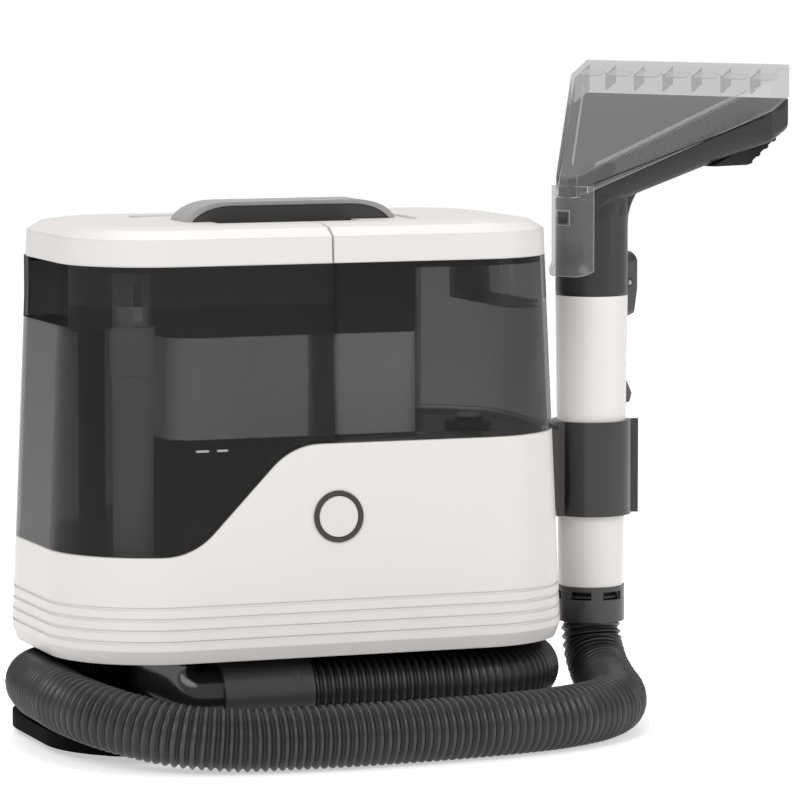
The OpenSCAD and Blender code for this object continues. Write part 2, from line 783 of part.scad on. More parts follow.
air_r = 11;
air_pipe_r = 7;
air_to = [tower_x0 + tower_t + 7, -22, z_duct];
module air_duct() color(black) difference() {
    union() {
        translate(pipe_at) rod(air_r, z_duct - air_r, z_floor_low - seat);
        bar([pipe_at[0], pipe_at[1], z_duct], air_to, air_pipe_r);
    }
    translate(pipe_at) rod(air_r - duct_t, z_duct - air_r + duct_t, z_floor_low + 1);
    bar([pipe_at[0], pipe_at[1], z_duct], air_to + (air_to - [pipe_at[0], pipe_at[1], z_duct]) / 20, air_pipe_r - duct_t);
}

// ---------------------------------------------------------------- tanks

// The room of the dirty tank, drawn in by inset: a flush part above the rim, and a part that
// stands inside the housing and follows its floor
module dirty_room(inset, top) difference() {
    union() {
        difference() {
            block(z_low, top, inset, inset);
            under_bend(z_low, z_high, curve_x, rim_gap + inset);
        }
        difference() {
            nest(inset, z_floor_low + inset, top);
            under_bend(z_floor_low, z_floor_high + 0.5, floor_x - 1, inset);
        }
    }
    slab([seam_x - seam_gap / 2 - inset, -body_d, z_base], [body_l, body_d, top + 1]);
    tower(z_base, top + 1, -notch_gap - inset);
}

// An upright prism that passes through the housing's high rim
module nest(inset, za, zb) prism(2 * (half_l(z_high) - nest_in - inset),
    2 * (half_d(z_high) - nest_in - inset), plan_r(z_high, nest_in + inset), za, zb);

module clean_room(inset, top) difference() {
    union() {
        block(z_high + rim_gap + inset, top, inset, inset);
        nest(inset, z_floor_high + inset, z_high + 8);
    }
    slab([-body_l, -body_d, z_base], [seam_x + seam_gap / 2 + inset, body_d, top + 1]);
    tower(z_base, top + 1, -notch_gap - inset);
}

// The grip pocket in a tank's end, under the lid
module pocket(side, h, grow) {
    x0 = half_l(z_lid) - pocket_in - grow;
    slab([side > 0 ? x0 : -body_l, -pocket_half - grow, z_lid - h - grow],
        [side > 0 ? body_l : -x0, pocket_half + grow, z_lid + 2]);
}

module dirty_tank() color(smoke) difference() {
    dirty_room(0, z_lid);
    difference() {
        dirty_room(tank_t, z_lid + 1);
        pocket(-1, pocket_h, tank_t);
    }
    pocket(-1, pocket_h, 0);
    translate(riser_at) rod(riser_r, z_floor_low - 1, z_floor_low + tank_t + 1);
    translate(pipe_at) rod(pipe_r - 3, z_floor_low - 1, z_floor_low + tank_t + 1);
}

module riser_tube() color(black) translate(riser_at)
    ring(riser_r, riser_r - 1.8, z_floor_low, z_lid - riser_drop);

z_pipe = z_floor_low + tank_t;
z_cage = z_lid - cage_drop - cage_h;
z_cap = z_cage - cap_h;
module standpipe() color(dark) translate(pipe_at) difference() {
    union() {
        rod(pipe_r, z_pipe, z_cap);
        rod(pipe_r + cap_out, z_cap, z_cage);
    }
    rod(pipe_r - 3, z_pipe - 1, z_cage - 4);
    rod(pipe_r - 7, z_cage - 5, z_cage + 1);
}

cage_t = 1.5;
module float_cage() color(clear) translate(pipe_at) difference() {
    ring(cage_r, cage_r - cage_t, z_cage, z_cage + cage_h);
    for (a = [0, 90]) rotate(a)
        slab([-cage_r - 1, -3, z_cage + 4], [cage_r + 1, 3, z_cage + cage_h - 4]);
}

module float() color("#d9d5cf") translate(pipe_at) rod(cage_r - cage_t - seat, z_cage, z_cage + float_h);

module clean_tank() color(smoke) difference() {
    clean_room(0, z_lid);
    difference() {
        clean_room(tank_t, z_lid + 1);
        pocket(1, pocket_clean_h, tank_t);
    }
    pocket(1, pocket_clean_h, 0);
    translate(valve_at) rod(plunger_r + 3, z_floor_high - 1, z_floor_high + tank_t + 1);
}

z_valve = z_floor_high + tank_t;
module valve_seat() color(black) translate(valve_at) difference() {
    union() {
        rod(plunger_r + 3, z_floor_high, z_valve + eps);
        rod(valve_r, z_valve, z_valve + 3);
        rod(plunger_r + 3, z_valve + 2, z_valve + 6);
    }
    rod(plunger_r + fit, z_floor_high - 1, z_valve + 7);
}

module valve_plunger() color(grey) translate(valve_at) {
    rod(plunger_r, z_floor_high - 0.6, z_valve + 6 + eps);
    rod(plunger_r + 2, z_valve + 6, z_valve + 8.5);
}

// ---------------------------------------------------------------- lids

// The outside of a lid's body over the whole machine, drawn in by inset
module lid_block(inset) {
    block(z_lid - (inset > 0 ? 1 : 0), z_lid + lid_wall_h, inset, inset);
    block(z_lid + lid_wall_h - eps, z_crown - inset, inset, lid_round_in + inset);
    block(z_crown - inset - eps, z_top - inset, lid_round_in + inset, lid_round_in + lid_crown_in + inset);
}

module lid_room(side, inset) difference() {
    lid_block(inset);
    slab([side < 0 ? seam_x - seam_gap / 2 - inset : -body_l, -body_d, z_base],
        [side < 0 ? body_l : seam_x + seam_gap / 2 + inset, body_d, z_top + 1]);
    tower(z_base, z_top + 1, -notch_gap - inset);
}

lid_ribs = [30, 58];
module lid(side) color(white) {
    difference() {
        lid_room(side, 0);
        lid_room(side, lid_t);
    }
    for (x = lid_ribs) intersection() {
        lid_room(side, lid_t / 2);
        slab([side * x - 1, -body_d, z_lid], [side * x + 1, body_d, z_top]);
    }
}

module lid_seal(side) color(black) difference() {
    block(z_lid - seal_t, z_lid, tank_t + seat, tank_t + seat);
    slab([side < 0 ? seam_x - seam_gap / 2 - tank_t - seat : -body_l, -body_d, z_base],
        [side < 0 ? body_l : seam_x + seam_gap / 2 + tank_t + seat, body_d, z_top]);
    tower(z_base, z_top, -notch_gap - tank_t - seat);
    pocket(side, pocket_h, tank_t + seat);
}

module dirty_lid() lid(-1);
module dirty_lid_seal() lid_seal(-1);
module clean_lid() lid(1);
module clean_lid_seal() lid_seal(1);

// ---------------------------------------------------------------- hose and its fittings

z_hose = z_plate + cuff_r + 0.6;
z_elbow_top = z_pan_top + 5;
elbow_end = elbow_at[0] + elbow_bend + 12;

module elbow_solid(r) {
    translate([elbow_at[0] + elbow_bend, elbow_at[1], z_hose + elbow_bend]) rotate([90, 180, 0])
        rotate_extrude(angle = 90) translate([elbow_bend, 0]) circle(r);
    translate([elbow_at[0] + elbow_bend, elbow_at[1], z_hose]) rotate([0, 90, 0]) cylinder(h = 12, r = r);
    translate(elbow_at) rod(r, z_hose + elbow_bend, z_elbow_top);
}

module hose_elbow() color(black) difference() {
    elbow_solid(elbow_r);
    elbow_solid(elbow_r - elbow_t);
}

cuff_x0 = elbow_end;
cuff_x1 = elbow_end + cuff_l;
hose_x0 = cuff_x1 - hose_d;
module elbow_cuff() color(dark) translate([0, elbow_at[1], z_hose]) rotate([0, 90, 0]) difference() {
    rod(cuff_r, cuff_x0, cuff_x1);
    rod(cuff_bore_r, hose_x0, cuff_x1 + 1);
    rod(elbow_r - elbow_t, cuff_x0 - 1, hose_x0 + 1);
    for (a = [60, 120, 240, 300]) rotate(a) slab([cuff_r - 1, -5, cuff_x1 - 12], [cuff_r + 1, 5, cuff_x1 - 7]);
}

// The route of the hose's centre: straight out of the elbow's cuff, round the column on the base
// plate, down to the floor and along the front, and up into the wand's cuff
z_lie = hose_r + 0.3;
hose_y = elbow_at[1];
hose_route = [
    [hose_x0, hose_y, z_hose], [-30, hose_y, z_hose], [-12, hose_y, z_hose], [10, hose_y, z_hose],
    [48, hose_y, z_hose], [84, -68, z_hose], [118, -58, z_hose], [143, -33, z_hose], [151, 0, z_hose],
    [143, 33, z_hose], [118, 58, z_hose], [84, 70, z_hose], [48, 72, z_hose], [0, 72, z_hose],
    [-48, 72, z_hose], [-84, 70, z_hose], [-118, 60, z_hose], [-145, 34, z_hose],
    [-155, 0, z_hose + 1], [-157, -36, z_hose + 1], [-154, -68, z_hose - 1], [-140, -100, 28],
    [-113, -125, 22], [-80, -138, z_lie], [-42, -144, z_lie], [0, -146, z_lie], [45, -144, z_lie],
    [88, -139, z_lie], [124, -130, z_lie], [154, -114, z_lie], [175, -92, z_lie], [187, -66, z_lie],
    [194, -43, z_lie], [199, -23, 20.5], [wand_x - 1, -6, 27], [wand_x, wand_y - 4, 38.5],
    [wand_x, wand_y, 51], [wand_x, wand_y, 55], [wand_x, wand_y, 66], [wand_x, wand_y, wand_z],
    [wand_x, wand_y, wand_z + hose_in]];
spline_steps = 8;

// A smooth curve through the points p, in n steps from point to point
function smooth_point(a, b, c, d, t) = 0.5 * (2 * b + t * (c - a) + t * t * (2 * a - 5 * b + 4 * c - d)
    + t * t * t * (3 * b - a - 3 * c + d));
function smooth(p, n) = concat([for (i = [0:len(p) - 2], k = [0:n - 1])
    smooth_point(i > 0 ? p[i - 1] : 2 * p[0] - p[1], p[i], p[i + 1],
        i < len(p) - 2 ? p[i + 2] : 2 * p[i + 1] - p[i], k / n)], [p[len(p) - 1]]);

hose_line = smooth(hose_route, spline_steps);
hose_marks = [for (i = 0, s = 0; i < len(hose_line);
    s = s + (i + 1 < len(hose_line) ? norm(hose_line[i + 1] - hose_line[i]) : 0), i = i + 1) s];
hose_length = hose_marks[len(hose_marks) - 1];

// The point of the line at distance s from its start
function seek(s, lo, hi) = hi - lo <= 1 ? lo : let (m = floor((lo + hi) / 2))
    hose_marks[m] <= s ? seek(s, m, hi) : seek(s, lo, m);
function at_mark(s) = let (i = seek(min(s, hose_length - eps), 0, len(hose_marks) - 1),
    t = (s - hose_marks[i]) / (hose_marks[i + 1] - hose_marks[i]))
    hose_line[i] + t * (hose_line[i + 1] - hose_line[i]);

hose_sides = 8;
ring_count = 2 * rib_count + 1;
hose_rings = [for (i = [0:ring_count - 1]) at_mark(hose_length * i / (ring_count - 1))];
function unit(v) = v / norm(v);
function along(p, i) = unit(p[min(i + 1, len(p) - 1)] - p[max(i - 1, 0)]);

// Cross directions carried along the rings, so that the tube never twists
function carry(u, t) = unit(u - (u * t) * t);
function cross_dirs(p) = [for (i = 0, u = carry([0, 0, 1], along(p, 0)); i < len(p);
    i = i + 1, u = i < len(p) ? carry(u, along(p, i)) : u) u];
hose_dirs = cross_dirs(hose_rings);

function ring_points(i, r) = let (t = along(hose_rings, i), u = hose_dirs[i], v = cross(t, u))
    [for (k = [0:hose_sides - 1]) let (a = 360 * (k + 0.5) / hose_sides)
        hose_rings[i] + r * (cos(a) * u + sin(a) * v)];

// One tube from an outer and an inner row of rings; bore rings stand at every bore_step-th place
bore_step = 4;
bore_at = [for (i = [0:bore_step:ring_count - 1]) i];
tube_points = concat(
    [for (i = [0:ring_count - 1]) each ring_points(i, i % 2 == 1 || i == 0 || i == ring_count - 1 ? hose_r : hose_r - rib_h)],
    [for (i = bore_at) each ring_points(i, hose_bore / 2)]);
function skin(base, rows, out) = [for (i = [0:rows - 2], k = [0:hose_sides - 1])
    let (a = base + i * hose_sides + k, b = base + i * hose_sides + (k + 1) % hose_sides,
         c = a + hose_sides, d = b + hose_sides)
    each (out ? [[a, b, d], [a, d, c]] : [[a, d, b], [a, c, d]])];
function end_cap(o, n, out) = [for (k = [0:hose_sides - 1])
    let (a = o + k, b = o + (k + 1) % hose_sides, c = n + k, d = n + (k + 1) % hose_sides)
    each (out ? [[a, d, b], [a, c, d]] : [[a, b, d], [a, d, c]])];
bore_base = ring_count * hose_sides;
tube_faces = concat(skin(0, ring_count, true), skin(bore_base, len(bore_at), false),
    end_cap(0, bore_base, true),
    end_cap((ring_count - 1) * hose_sides, bore_base + (len(bore_at) - 1) * hose_sides, false));

// The least gap between stretches of the hose that lie more than two diameters apart along it
gap_step = 6;
hose_gap = min([for (i = [0:gap_step:ring_count - 1]) for (j = [i:gap_step:ring_count - 1])
    if ((j - i) * hose_length / (ring_count - 1) > 2.5 * hose_d)
        norm(hose_rings[i] - hose_rings[j])]) - hose_d;

module hose() {
    echo(hose_length = hose_length, hose_gap = hose_gap);
    color(black) polyhedron(points = tube_points, faces = tube_faces, convexity = 10);
}

module hose_cuff() color(dark) at_wand() difference() {
    rod(cuff_r, wand_z - hose_cuff_h, wand_z);
    rod(cuff_bore_r, wand_z - hose_cuff_h - 1, wand_z + 1);
    for (a = [-100, -40, 20, 80, 140, 200]) rotate(a)
        slab([cuff_bore_r - 1, -7, wand_z - 8], [cuff_r + 1, 7, wand_z - 3]);
}

// ---------------------------------------------------------------- wand

module at_wand() translate([wand_x, wand_y, 0]) rotate(bend_a) children();

clip_back = wand_x - clip_r - clip_t - 2;
bracket_w = 30;
module wand_bracket() color(dark) difference() {
    slab([half_l(z_high) - 10, wand_y - bracket_w / 2, clip_z + 4],
        [clip_back, wand_y + bracket_w / 2, clip_z + clip_h - 4]);
    block(z_base, z_high + 10, 0, 0);
    slab([half_l(z_low) + 3, wand_y - bracket_w, clip_z + 16], [clip_back - 5, wand_y + bracket_w, clip_z + clip_h - 16]);
    clip_screw_places() rotate([0, 90, 0]) rod(screw_r + fit, -1, 30);
}

module clip_screw_places()
    for (z = [clip_z + 10, clip_z + clip_h - 10]) translate([half_l(clip_z) - 4, wand_y, z]) children();

module clip_screws() color(steel) clip_screw_places() rotate([0, 90, 0]) rod(screw_r, 0, clip_back + 2.5 - half_l(clip_z) + 4);

module wand_clip() color(dark) difference() {
    union() {
        translate([wand_x, wand_y, 0]) rod(clip_r + clip_t, clip_z, clip_z + clip_h);
        slab([clip_back, wand_y - bracket_w / 2 + 4, clip_z], [wand_x - clip_r + 2, wand_y + bracket_w / 2 - 4, clip_z + clip_h]);
        for (s = [-1, 1]) translate([wand_x, wand_y, 0]) rotate(clip_dir + s * (clip_open + 6))
            slab([clip_r + 1, -clip_t / 2, clip_z], [clip_r + clip_t + 5, clip_t / 2, clip_z + clip_h]);
    }
    translate([wand_x, wand_y, 0]) rod(clip_r, clip_z - 1, clip_z + clip_h + 1);
    translate([wand_x, wand_y, clip_z - 1]) rotate(clip_dir) linear_extrude(clip_h + 2)
        polygon([[0, 0], [60, -60 * tan(clip_open)], [60, 60 * tan(clip_open)]]);
    clip_screw_places() rotate([0, 90, 0]) rod(screw_r + fit, 0, clip_back + 3 - half_l(clip_z) + 4);
}

pivot_x = 18.8;
pivot_z = trigger_z + trigger_h - 3;
pin_r = 1.5;

module wand_tube() color(white) at_wand() difference() {
    translate([0, 0, wand_z]) cylinder(h = wand_l, r1 = wand_r_low, r2 = wand_r_top);
    rod(wand_bore_r, wand_z + hose_in, wand_top + 1);
    rod(cuff_bore_r, wand_z - 1, wand_z + hose_in);
    slab([10, -trigger_w / 2 - 0.5, trigger_z - 2], [30, trigger_w / 2 + 0.5, trigger_z + trigger_h + 2]);
    translate([pivot_x, 0, pivot_z]) rotate([90, 0, 0]) translate([0, 0, -8]) cylinder(h = 16, r = pin_r);
}

module trigger_pin() color(steel) at_wand() translate([pivot_x, 0, pivot_z]) rotate([90, 0, 0])
    translate([0, 0, -7.4]) cylinder(h = 14.8, r = pin_r);

trigger_nose_z = trigger_z + 7;
module trigger() color(black) at_wand() difference() {
    rotate([90, 0, 0]) translate([0, 0, -trigger_w / 2]) linear_extrude(trigger_w) polygon([
        [pivot_x - 2, trigger_z], [wand_r_top + 1, trigger_z], [trigger_out - 2, trigger_z + 2],
        [trigger_out, trigger_nose_z], [wand_r_top + 2, trigger_z + trigger_h - 3],
        [wand_r_top - 0.4, trigger_z + trigger_h], [pivot_x - 2, trigger_z + trigger_h]]);
    translate([pivot_x, 0, pivot_z]) rotate([90, 0, 0]) translate([0, 0, -8]) cylinder(h = 16, r = pin_r + fit);
}

valve_x = 5;
module spray_valve() color(black) at_wand() {
    translate([valve_x, 0, 0]) rod(5, trigger_z - 8, trigger_z + 18);
    slab([valve_x - 3, -sqrt(wand_bore_r * wand_bore_r - 64) + seat, trigger_z - 6],
        [valve_x + 3, sqrt(wand_bore_r * wand_bore_r - 64) - seat, trigger_z - 3]);
}

module spray_line() color(clear) at_wand() translate([valve_x, 0, 0]) {
    ring(2.5, 1.5, wand_z + hose_in + 3, trigger_z - 8);
    ring(2.5, 1.5, trigger_z + 18, wand_top - spigot_l - 2);
}

// ---------------------------------------------------------------- nozzle

// Heights of the fan at reach x: the cover's face, the parting line, the body's top and underside
function z_face(x) = wand_top + face_low_h + face_rise * (x - apex_x);
function z_part(x) = z_face(x) - skirt_low_h - (skirt_h - skirt_low_h) * (x - apex_x) / (mouth_x - apex_x);
function z_deck(x) = z_face(x) - channel_h;
function z_under(x) = z_face(x) - fan_low_t - (fan_high_t - fan_low_t) * (x - apex_x) / (mouth_x - apex_x);

// Half of the fan's plan, drawn in by inset
function fan_half(inset) = let (k = sqrt(1 + side_slope * side_slope)) [
    [apex_x + inset, apex_w / 2 + inset * (side_slope - k)],
    [mouth_x - parallel_l + inset * (k - 1) / side_slope, mouth_w / 2 - inset],
    [mouth_x, mouth_w / 2 - inset]];
module fan_plan(inset) polygon(concat(fan_half(inset),
    [for (i = [2:-1:0]) [fan_half(inset)[i][0], -fan_half(inset)[i][1]]]));
module fan_column(inset) translate([0, 0, wand_top]) linear_extrude(200) fan_plan(inset);
module fan_side(points) rotate([90, 0, 0]) translate([0, 0, -mouth_w]) linear_extrude(2 * mouth_w) polygon(points);

far_x = mouth_x + 5;
near_x = apex_x - 5;
cavity_in = 3;

body_x0 = -12;
deck_x = mouth_x - deck_back;

// The neck widens in an arc that runs into the fan's underside
under_a = 90 - atan((z_under(mouth_x) - z_under(0)) / mouth_x);
flare_x = neck_r + neck_flare_r * (1 - cos(under_a));
flare_z = z_under(flare_x) - neck_flare_r * sin(under_a);
module neck_flare() intersection() {
    rotate_extrude() polygon(concat([[0, flare_z - 1], [neck_r, flare_z - 1]],
        [for (i = [0:curve_steps]) let (a = under_a * i / curve_steps)
            [neck_r + neck_flare_r * (1 - cos(a)), flare_z + neck_flare_r * sin(a)]],
        [[flare_x, z_part(flare_x)], [0, z_part(flare_x)]]));
    fan_column(0.2);
    fan_side([[body_x0 - 2, flare_z - 2], [flare_x + 1, flare_z - 2], [flare_x + 1, z_part(flare_x + 1) - 0.2],
        [body_x0 - 2, z_part(body_x0 - 2) - 0.2]]);
}
module fan_body() {
    intersection() {
        fan_column(0);
        fan_side([[body_x0, z_under(body_x0)], [mouth_x, z_under(mouth_x)],
            [mouth_x, z_part(mouth_x)], [body_x0, z_part(body_x0)]]);
    }
    intersection() {
        fan_column(cover_t + cover_gap);
        fan_side([[body_x0, z_part(body_x0) - 1], [deck_x, z_part(deck_x) - 1],
            [deck_x, z_deck(deck_x)], [body_x0, z_deck(body_x0)]]);
    }
}

module fan_cavity() intersection() {
    fan_column(cover_t + cover_gap + cavity_in);
    fan_side([[6, z_under(6) + cavity_in], [mouth_x - cavity_in, z_under(mouth_x) + cavity_in - 1],
        [mouth_x - cavity_in, z_part(mouth_x) - cavity_in], [deck_x, z_part(deck_x) - cavity_in],
        [deck_x - cavity_in, z_deck(deck_x - cavity_in) - cavity_in], [6, z_deck(6) - cavity_in]]);
}

latch_x = 28;
latch_z = wand_top + 6;
latch_w = 12;
ear_r = 3.6;
boss_w = 17;
jet_at = [42, 0];
spigot_r = wand_bore_r - 0.1;
neck_bore_r = 14.5;

module nozzle_body() color(dark) at_wand() difference() {
    union() {
        fan_body();
        neck_flare();
        rod(neck_r, wand_top, z_part(-neck_r) - 2);
        rod(spigot_r, wand_top - spigot_l, wand_top + 1);
        latch_ears();
        jet_place() rod(6.5, -9, 2.5);
    }
    rod(neck_bore_r, wand_top - spigot_l - 1, z_face(0) + 20);
    fan_cavity();
    latch_axis() cylinder(h = boss_w + 2, r = pin_r, center = true);
    jet_place() rod(2.6, -12, 8);
}

module latch_ears() for (s = [-1, 1]) translate([0, s * (boss_w / 2 + latch_w / 2 + 0.4) / 2, 0]) {
    slab([12, -1.05, latch_z - ear_r], [latch_x, 1.05, latch_z + ear_r]);
    latch_axis() cylinder(h = 2.1, r = ear_r, center = true);
}

module latch_axis() translate([latch_x, 0, latch_z]) rotate([90, 0, 0]) children();

module latch_pin() color(steel) at_wand() latch_axis() cylinder(h = boss_w - 0.6, r = pin_r, center = true);

latch_top = wand_top + 25;
latch_low = wand_top - 17;
latch_out = latch_x + 10;
module latch() color(black) at_wand() difference() {
    intersection() {
        rotate([90, 0, 0]) translate([0, 0, -latch_w / 2]) linear_extrude(latch_w) polygon([
            [neck_r + 4, latch_top], [latch_out - 2, latch_top], [latch_out, latch_top - 6],
            [latch_out, wand_top + 2], [latch_out - 3, latch_low + 4], [neck_r + 3, latch_low],
            [neck_r + 1.2, latch_low + 3], [neck_r + 3.5, wand_top - 1], [neck_r + 4, wand_top + 6]]);
        rotate([0, 90, 0]) translate([-(latch_top + latch_low) / 2, 0, 0]) linear_extrude(60) {
            square([latch_top - latch_low - latch_w, latch_w], center = true);
            for (s = [-1, 1]) translate([s * (latch_top - latch_low - latch_w) / 2, 0]) circle(latch_w / 2);
        }
    }
    latch_axis() cylinder(h = 40, r = pin_r + fit, center = true);
}

module jet_place() translate([jet_at[0], 0, z_under(jet_at[0])]) rotate([0, 135, 0]) children();

module spray_jet() color(black) at_wand() jet_place() difference() {
    union() {
        rod(2.5, 0, 6.5);
        rod(4.5, 6, 10);
    }
    rod(0.9, -1, 11);
}

pad_back = 45;
pad_slope = 19;
pad_in = 17;
module pad_profile(grow) polygon([[mouth_x - 1, z_under(mouth_x - 1)],
    [mouth_x - pad_slope, z_under(mouth_x - pad_slope) - pad_h],
    [mouth_x - pad_back, z_under(mouth_x - pad_back) - 0.5], [mouth_x - pad_back, z_under(mouth_x - pad_back)]]);

pad_low = [mouth_x - pad_slope, z_under(mouth_x - pad_slope) - pad_h];
pad_high = [mouth_x - 1, z_under(mouth_x - 1)];
nub_r = 1.7;
nub_l = 2.6;
function pad_at(f) = pad_low + f * (pad_high - pad_low);
pad_a = atan2(pad_high[1] - pad_low[1], pad_high[0] - pad_low[0]);

module brush_pad() color(black) at_wand() {
    intersection() {
        rotate([90, 0, 0]) translate([0, 0, -mouth_w / 2]) linear_extrude(mouth_w) pad_profile(0);
        translate([0, 0, wand_top]) linear_extrude(2 * mouth_x) polygon([
            [mouth_x - pad_back, -mouth_w / 2 + pad_in + 6], [mouth_x - pad_slope, -mouth_w / 2 + pad_in],
            [mouth_x, -mouth_w / 2 + 4], [mouth_x, mouth_w / 2 - 4],
            [mouth_x - pad_slope, mouth_w / 2 - pad_in], [mouth_x - pad_back, mouth_w / 2 - pad_in - 6]]);
    }
    for (j = [0:nub_rows - 1]) let (p = pad_at((j + 0.7) / (nub_rows + 0.4)),
        half = mouth_w / 2 - pad_in - 4 + (pad_in - 4) * (j + 0.7) / (nub_rows + 0.4))
        for (i = [0:nub_count - 1]) translate([p[0], (2 * i / (nub_count - 1) - 1) * half, p[1]])
            rotate([0, 180 - pad_a, 0]) translate([0, 0, -1])
                cylinder(h = nub_l + 1, r = nub_r, $fn = 16);
}

tab_low = wand_top + 12;
tab_half = 42;
tab_r = 11;
module cover_tab(r_in, r_out) {
    half = (r_out + 3.5) * sin(tab_half) + 1 - tab_r;
    intersection() {
        rotate(180 - tab_half) rotate_extrude(angle = 2 * tab_half)
            polygon([[r_in, tab_low + 8], [r_in + 3.5, tab_low], [r_out + 3.5, tab_low], [r_out, tab_low + 8],
                [r_out, z_part(-neck_r) + 6], [r_in, z_part(-neck_r) + 6]]);
        translate([-2 * neck_r, 0, tab_low + 0.4]) rotate([90, 0, 90]) linear_extrude(1.9 * neck_r) {
            translate([0, neck_r + tab_r]) square([3 * r_out, 2 * neck_r], center = true);
            translate([0, tab_r]) square([2 * half, 2 * tab_r], center = true);
            for (s = [-1, 1]) translate([s * half, tab_r]) circle(tab_r);
        }
    }
}

module nozzle_cover() color(clear) at_wand() {
    difference() {
        intersection() {
            fan_column(0);
            fan_side([[near_x, z_part(near_x) + cover_gap], [far_x, z_part(far_x) + cover_gap],
                [far_x, z_face(far_x)], [near_x, z_face(near_x)]]);
        }
        intersection() {
            translate([0, 0, wand_top]) linear_extrude(200) polygon(concat(
                [for (p = fan_half(cover_t)) [p[0] > mouth_x - 1 ? mouth_x + 1 : p[0], p[1]]],
                [for (i = [2:-1:0]) let (p = fan_half(cover_t)[i]) [p[0] > mouth_x - 1 ? mouth_x + 1 : p[0], -p[1]]]));
            fan_side([[near_x, z_part(near_x) - 1], [far_x, z_part(far_x) - 1],
                [far_x, z_face(far_x) - cover_t * 1.15], [near_x, z_face(near_x) - cover_t * 1.15]]);
        }
    }
    cover_tab(neck_r + cover_gap, neck_r + cover_gap + cover_t);
    for (i = [1:mouth_ribs]) let (s = (i / (mouth_ribs + 1) - 0.5) * mouth_w) intersection() {
        slab([mouth_x - 9, s - 0.8, wand_top], [mouth_x, s + 0.8, wand_top + 300]);
        fan_side([[near_x, z_deck(near_x) + cover_gap], [far_x, z_deck(far_x) + cover_gap],
            [far_x, z_face(far_x) - 1], [near_x, z_face(near_x) - 1]]);
    }
}

// ---------------------------------------------------------------- the part

module framed() translate([-frame_x, -frame_y, 0]) children();

framed() base_plate();
framed() rubber_feet();
framed() base_column();
framed() under_pan();
framed() pan_screws();
framed() housing();
framed() motor_box();
framed() tower_cover();
framed() hand_well();
framed() handle_grip();
framed() handle_cap();
framed() handle_screws();
framed() well_trim();
framed() button_ring();
framed() power_button();
framed() button_switch();
framed() control_board();
framed() motor_mounts();
framed() suction_motor();
framed() motor_shaft();
framed() fan_wheel();
framed() fan_housing();
framed() exhaust_grille();
framed() water_pump();
framed() feed_tube();
framed() valve_socket();
framed() solution_line();
framed() suction_duct();
framed() air_duct();
framed() cord_inlet();
framed() dirty_tank();
framed() riser_tube();
framed() standpipe();
framed() float_cage();
framed() float();
framed() dirty_lid();
framed() dirty_lid_seal();
framed() clean_tank();
framed() valve_seat();
framed() valve_plunger();
framed() clean_lid();
framed() clean_lid_seal();
framed() hose_elbow();
framed() elbow_cuff();
framed() hose();
framed() hose_cuff();
framed() wand_bracket();
framed() wand_clip();
framed() clip_screws();
framed() wand_tube();
framed() spray_valve();
framed() spray_line();
framed() trigger_pin();
framed() trigger();
framed() nozzle_body();
framed() spray_jet();
framed() brush_pad();
framed() latch_pin();
framed() latch();
framed() nozzle_cover();
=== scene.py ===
# %% [markdown]
# # A portable spot extractor
# This lesson dresses a machine that sprays water into fabric and sucks it out again: a grooved
# white housing, two smoked tanks, an arched handle, a ribbed hose wound round the foot, and a
# wand with a flared, clear-covered nozzle. The solids come ready made in one shared frame, so
# the work here is light, camera, finishes and the small parts that solids leave out.

# %% Load the solids
import bpy
import bmesh
import math
from mathutils import Vector, Matrix


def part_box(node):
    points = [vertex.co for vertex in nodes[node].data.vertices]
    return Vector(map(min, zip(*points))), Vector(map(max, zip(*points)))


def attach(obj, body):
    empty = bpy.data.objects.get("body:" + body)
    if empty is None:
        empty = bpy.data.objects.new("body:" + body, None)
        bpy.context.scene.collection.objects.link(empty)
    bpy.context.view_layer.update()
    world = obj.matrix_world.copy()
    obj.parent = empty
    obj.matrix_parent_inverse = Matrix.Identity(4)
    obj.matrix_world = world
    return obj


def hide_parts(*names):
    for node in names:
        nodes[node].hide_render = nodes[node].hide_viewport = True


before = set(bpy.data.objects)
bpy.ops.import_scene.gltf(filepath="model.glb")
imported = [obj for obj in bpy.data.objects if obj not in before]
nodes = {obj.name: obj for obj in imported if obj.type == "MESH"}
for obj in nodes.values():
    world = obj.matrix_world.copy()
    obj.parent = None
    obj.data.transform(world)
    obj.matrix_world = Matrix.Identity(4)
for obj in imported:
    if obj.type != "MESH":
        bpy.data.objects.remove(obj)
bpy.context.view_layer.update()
scene = bpy.context.scene
scene.cycles.transparent_max_bounces = 24    # a ray may cross the walls of both tanks

# %% [markdown]
# The drawing of the machine has its zero in the middle of the housing, while the shared frame
# has it in the middle of the whole footprint. One helper turns millimetres of the drawing into
# metres of the frame, a second one does it for the wand, which is turned 29 degrees, and a
# third one goes back from the frame to the wand.

# %% From the drawing to the frame
drawing_zero = (0.0818156, 0.0142946)
wand_x, wand_y, wand_turn = 202.0, 10.0, math.radians(29)


def at(x, y, z):
    return Vector((x / 1000 - drawing_zero[0], y / 1000 - drawing_zero[1], z / 1000))


def on_wand(x, y, z):
    c, s = math.cos(wand_turn), math.sin(wand_turn)
    return at(wand_x + x * c - y * s, wand_y + x * s + y * c, z)


def off_wand(p):
    x, y = (p.x + drawing_zero[0]) * 1000 - wand_x, (p.y + drawing_zero[1]) * 1000 - wand_y
    c, s = math.cos(wand_turn), math.sin(wand_turn)
    return x * c + y * s, y * c - x * s, p.z * 1000


def add_object(name, data):
    obj = bpy.data.objects.new(name, data)
    scene.collection.objects.link(obj)
    return obj


print("housing centre", tuple(round(v, 4) for v in at(0, 0, 0)))

# %% [markdown]
# ## Camera
# A long lens from far away flattens perspective, which suits a product picture. The camera is
# given by its three directions and its place, and the small shift puts the machine where it
# belongs in the picture without turning the camera.

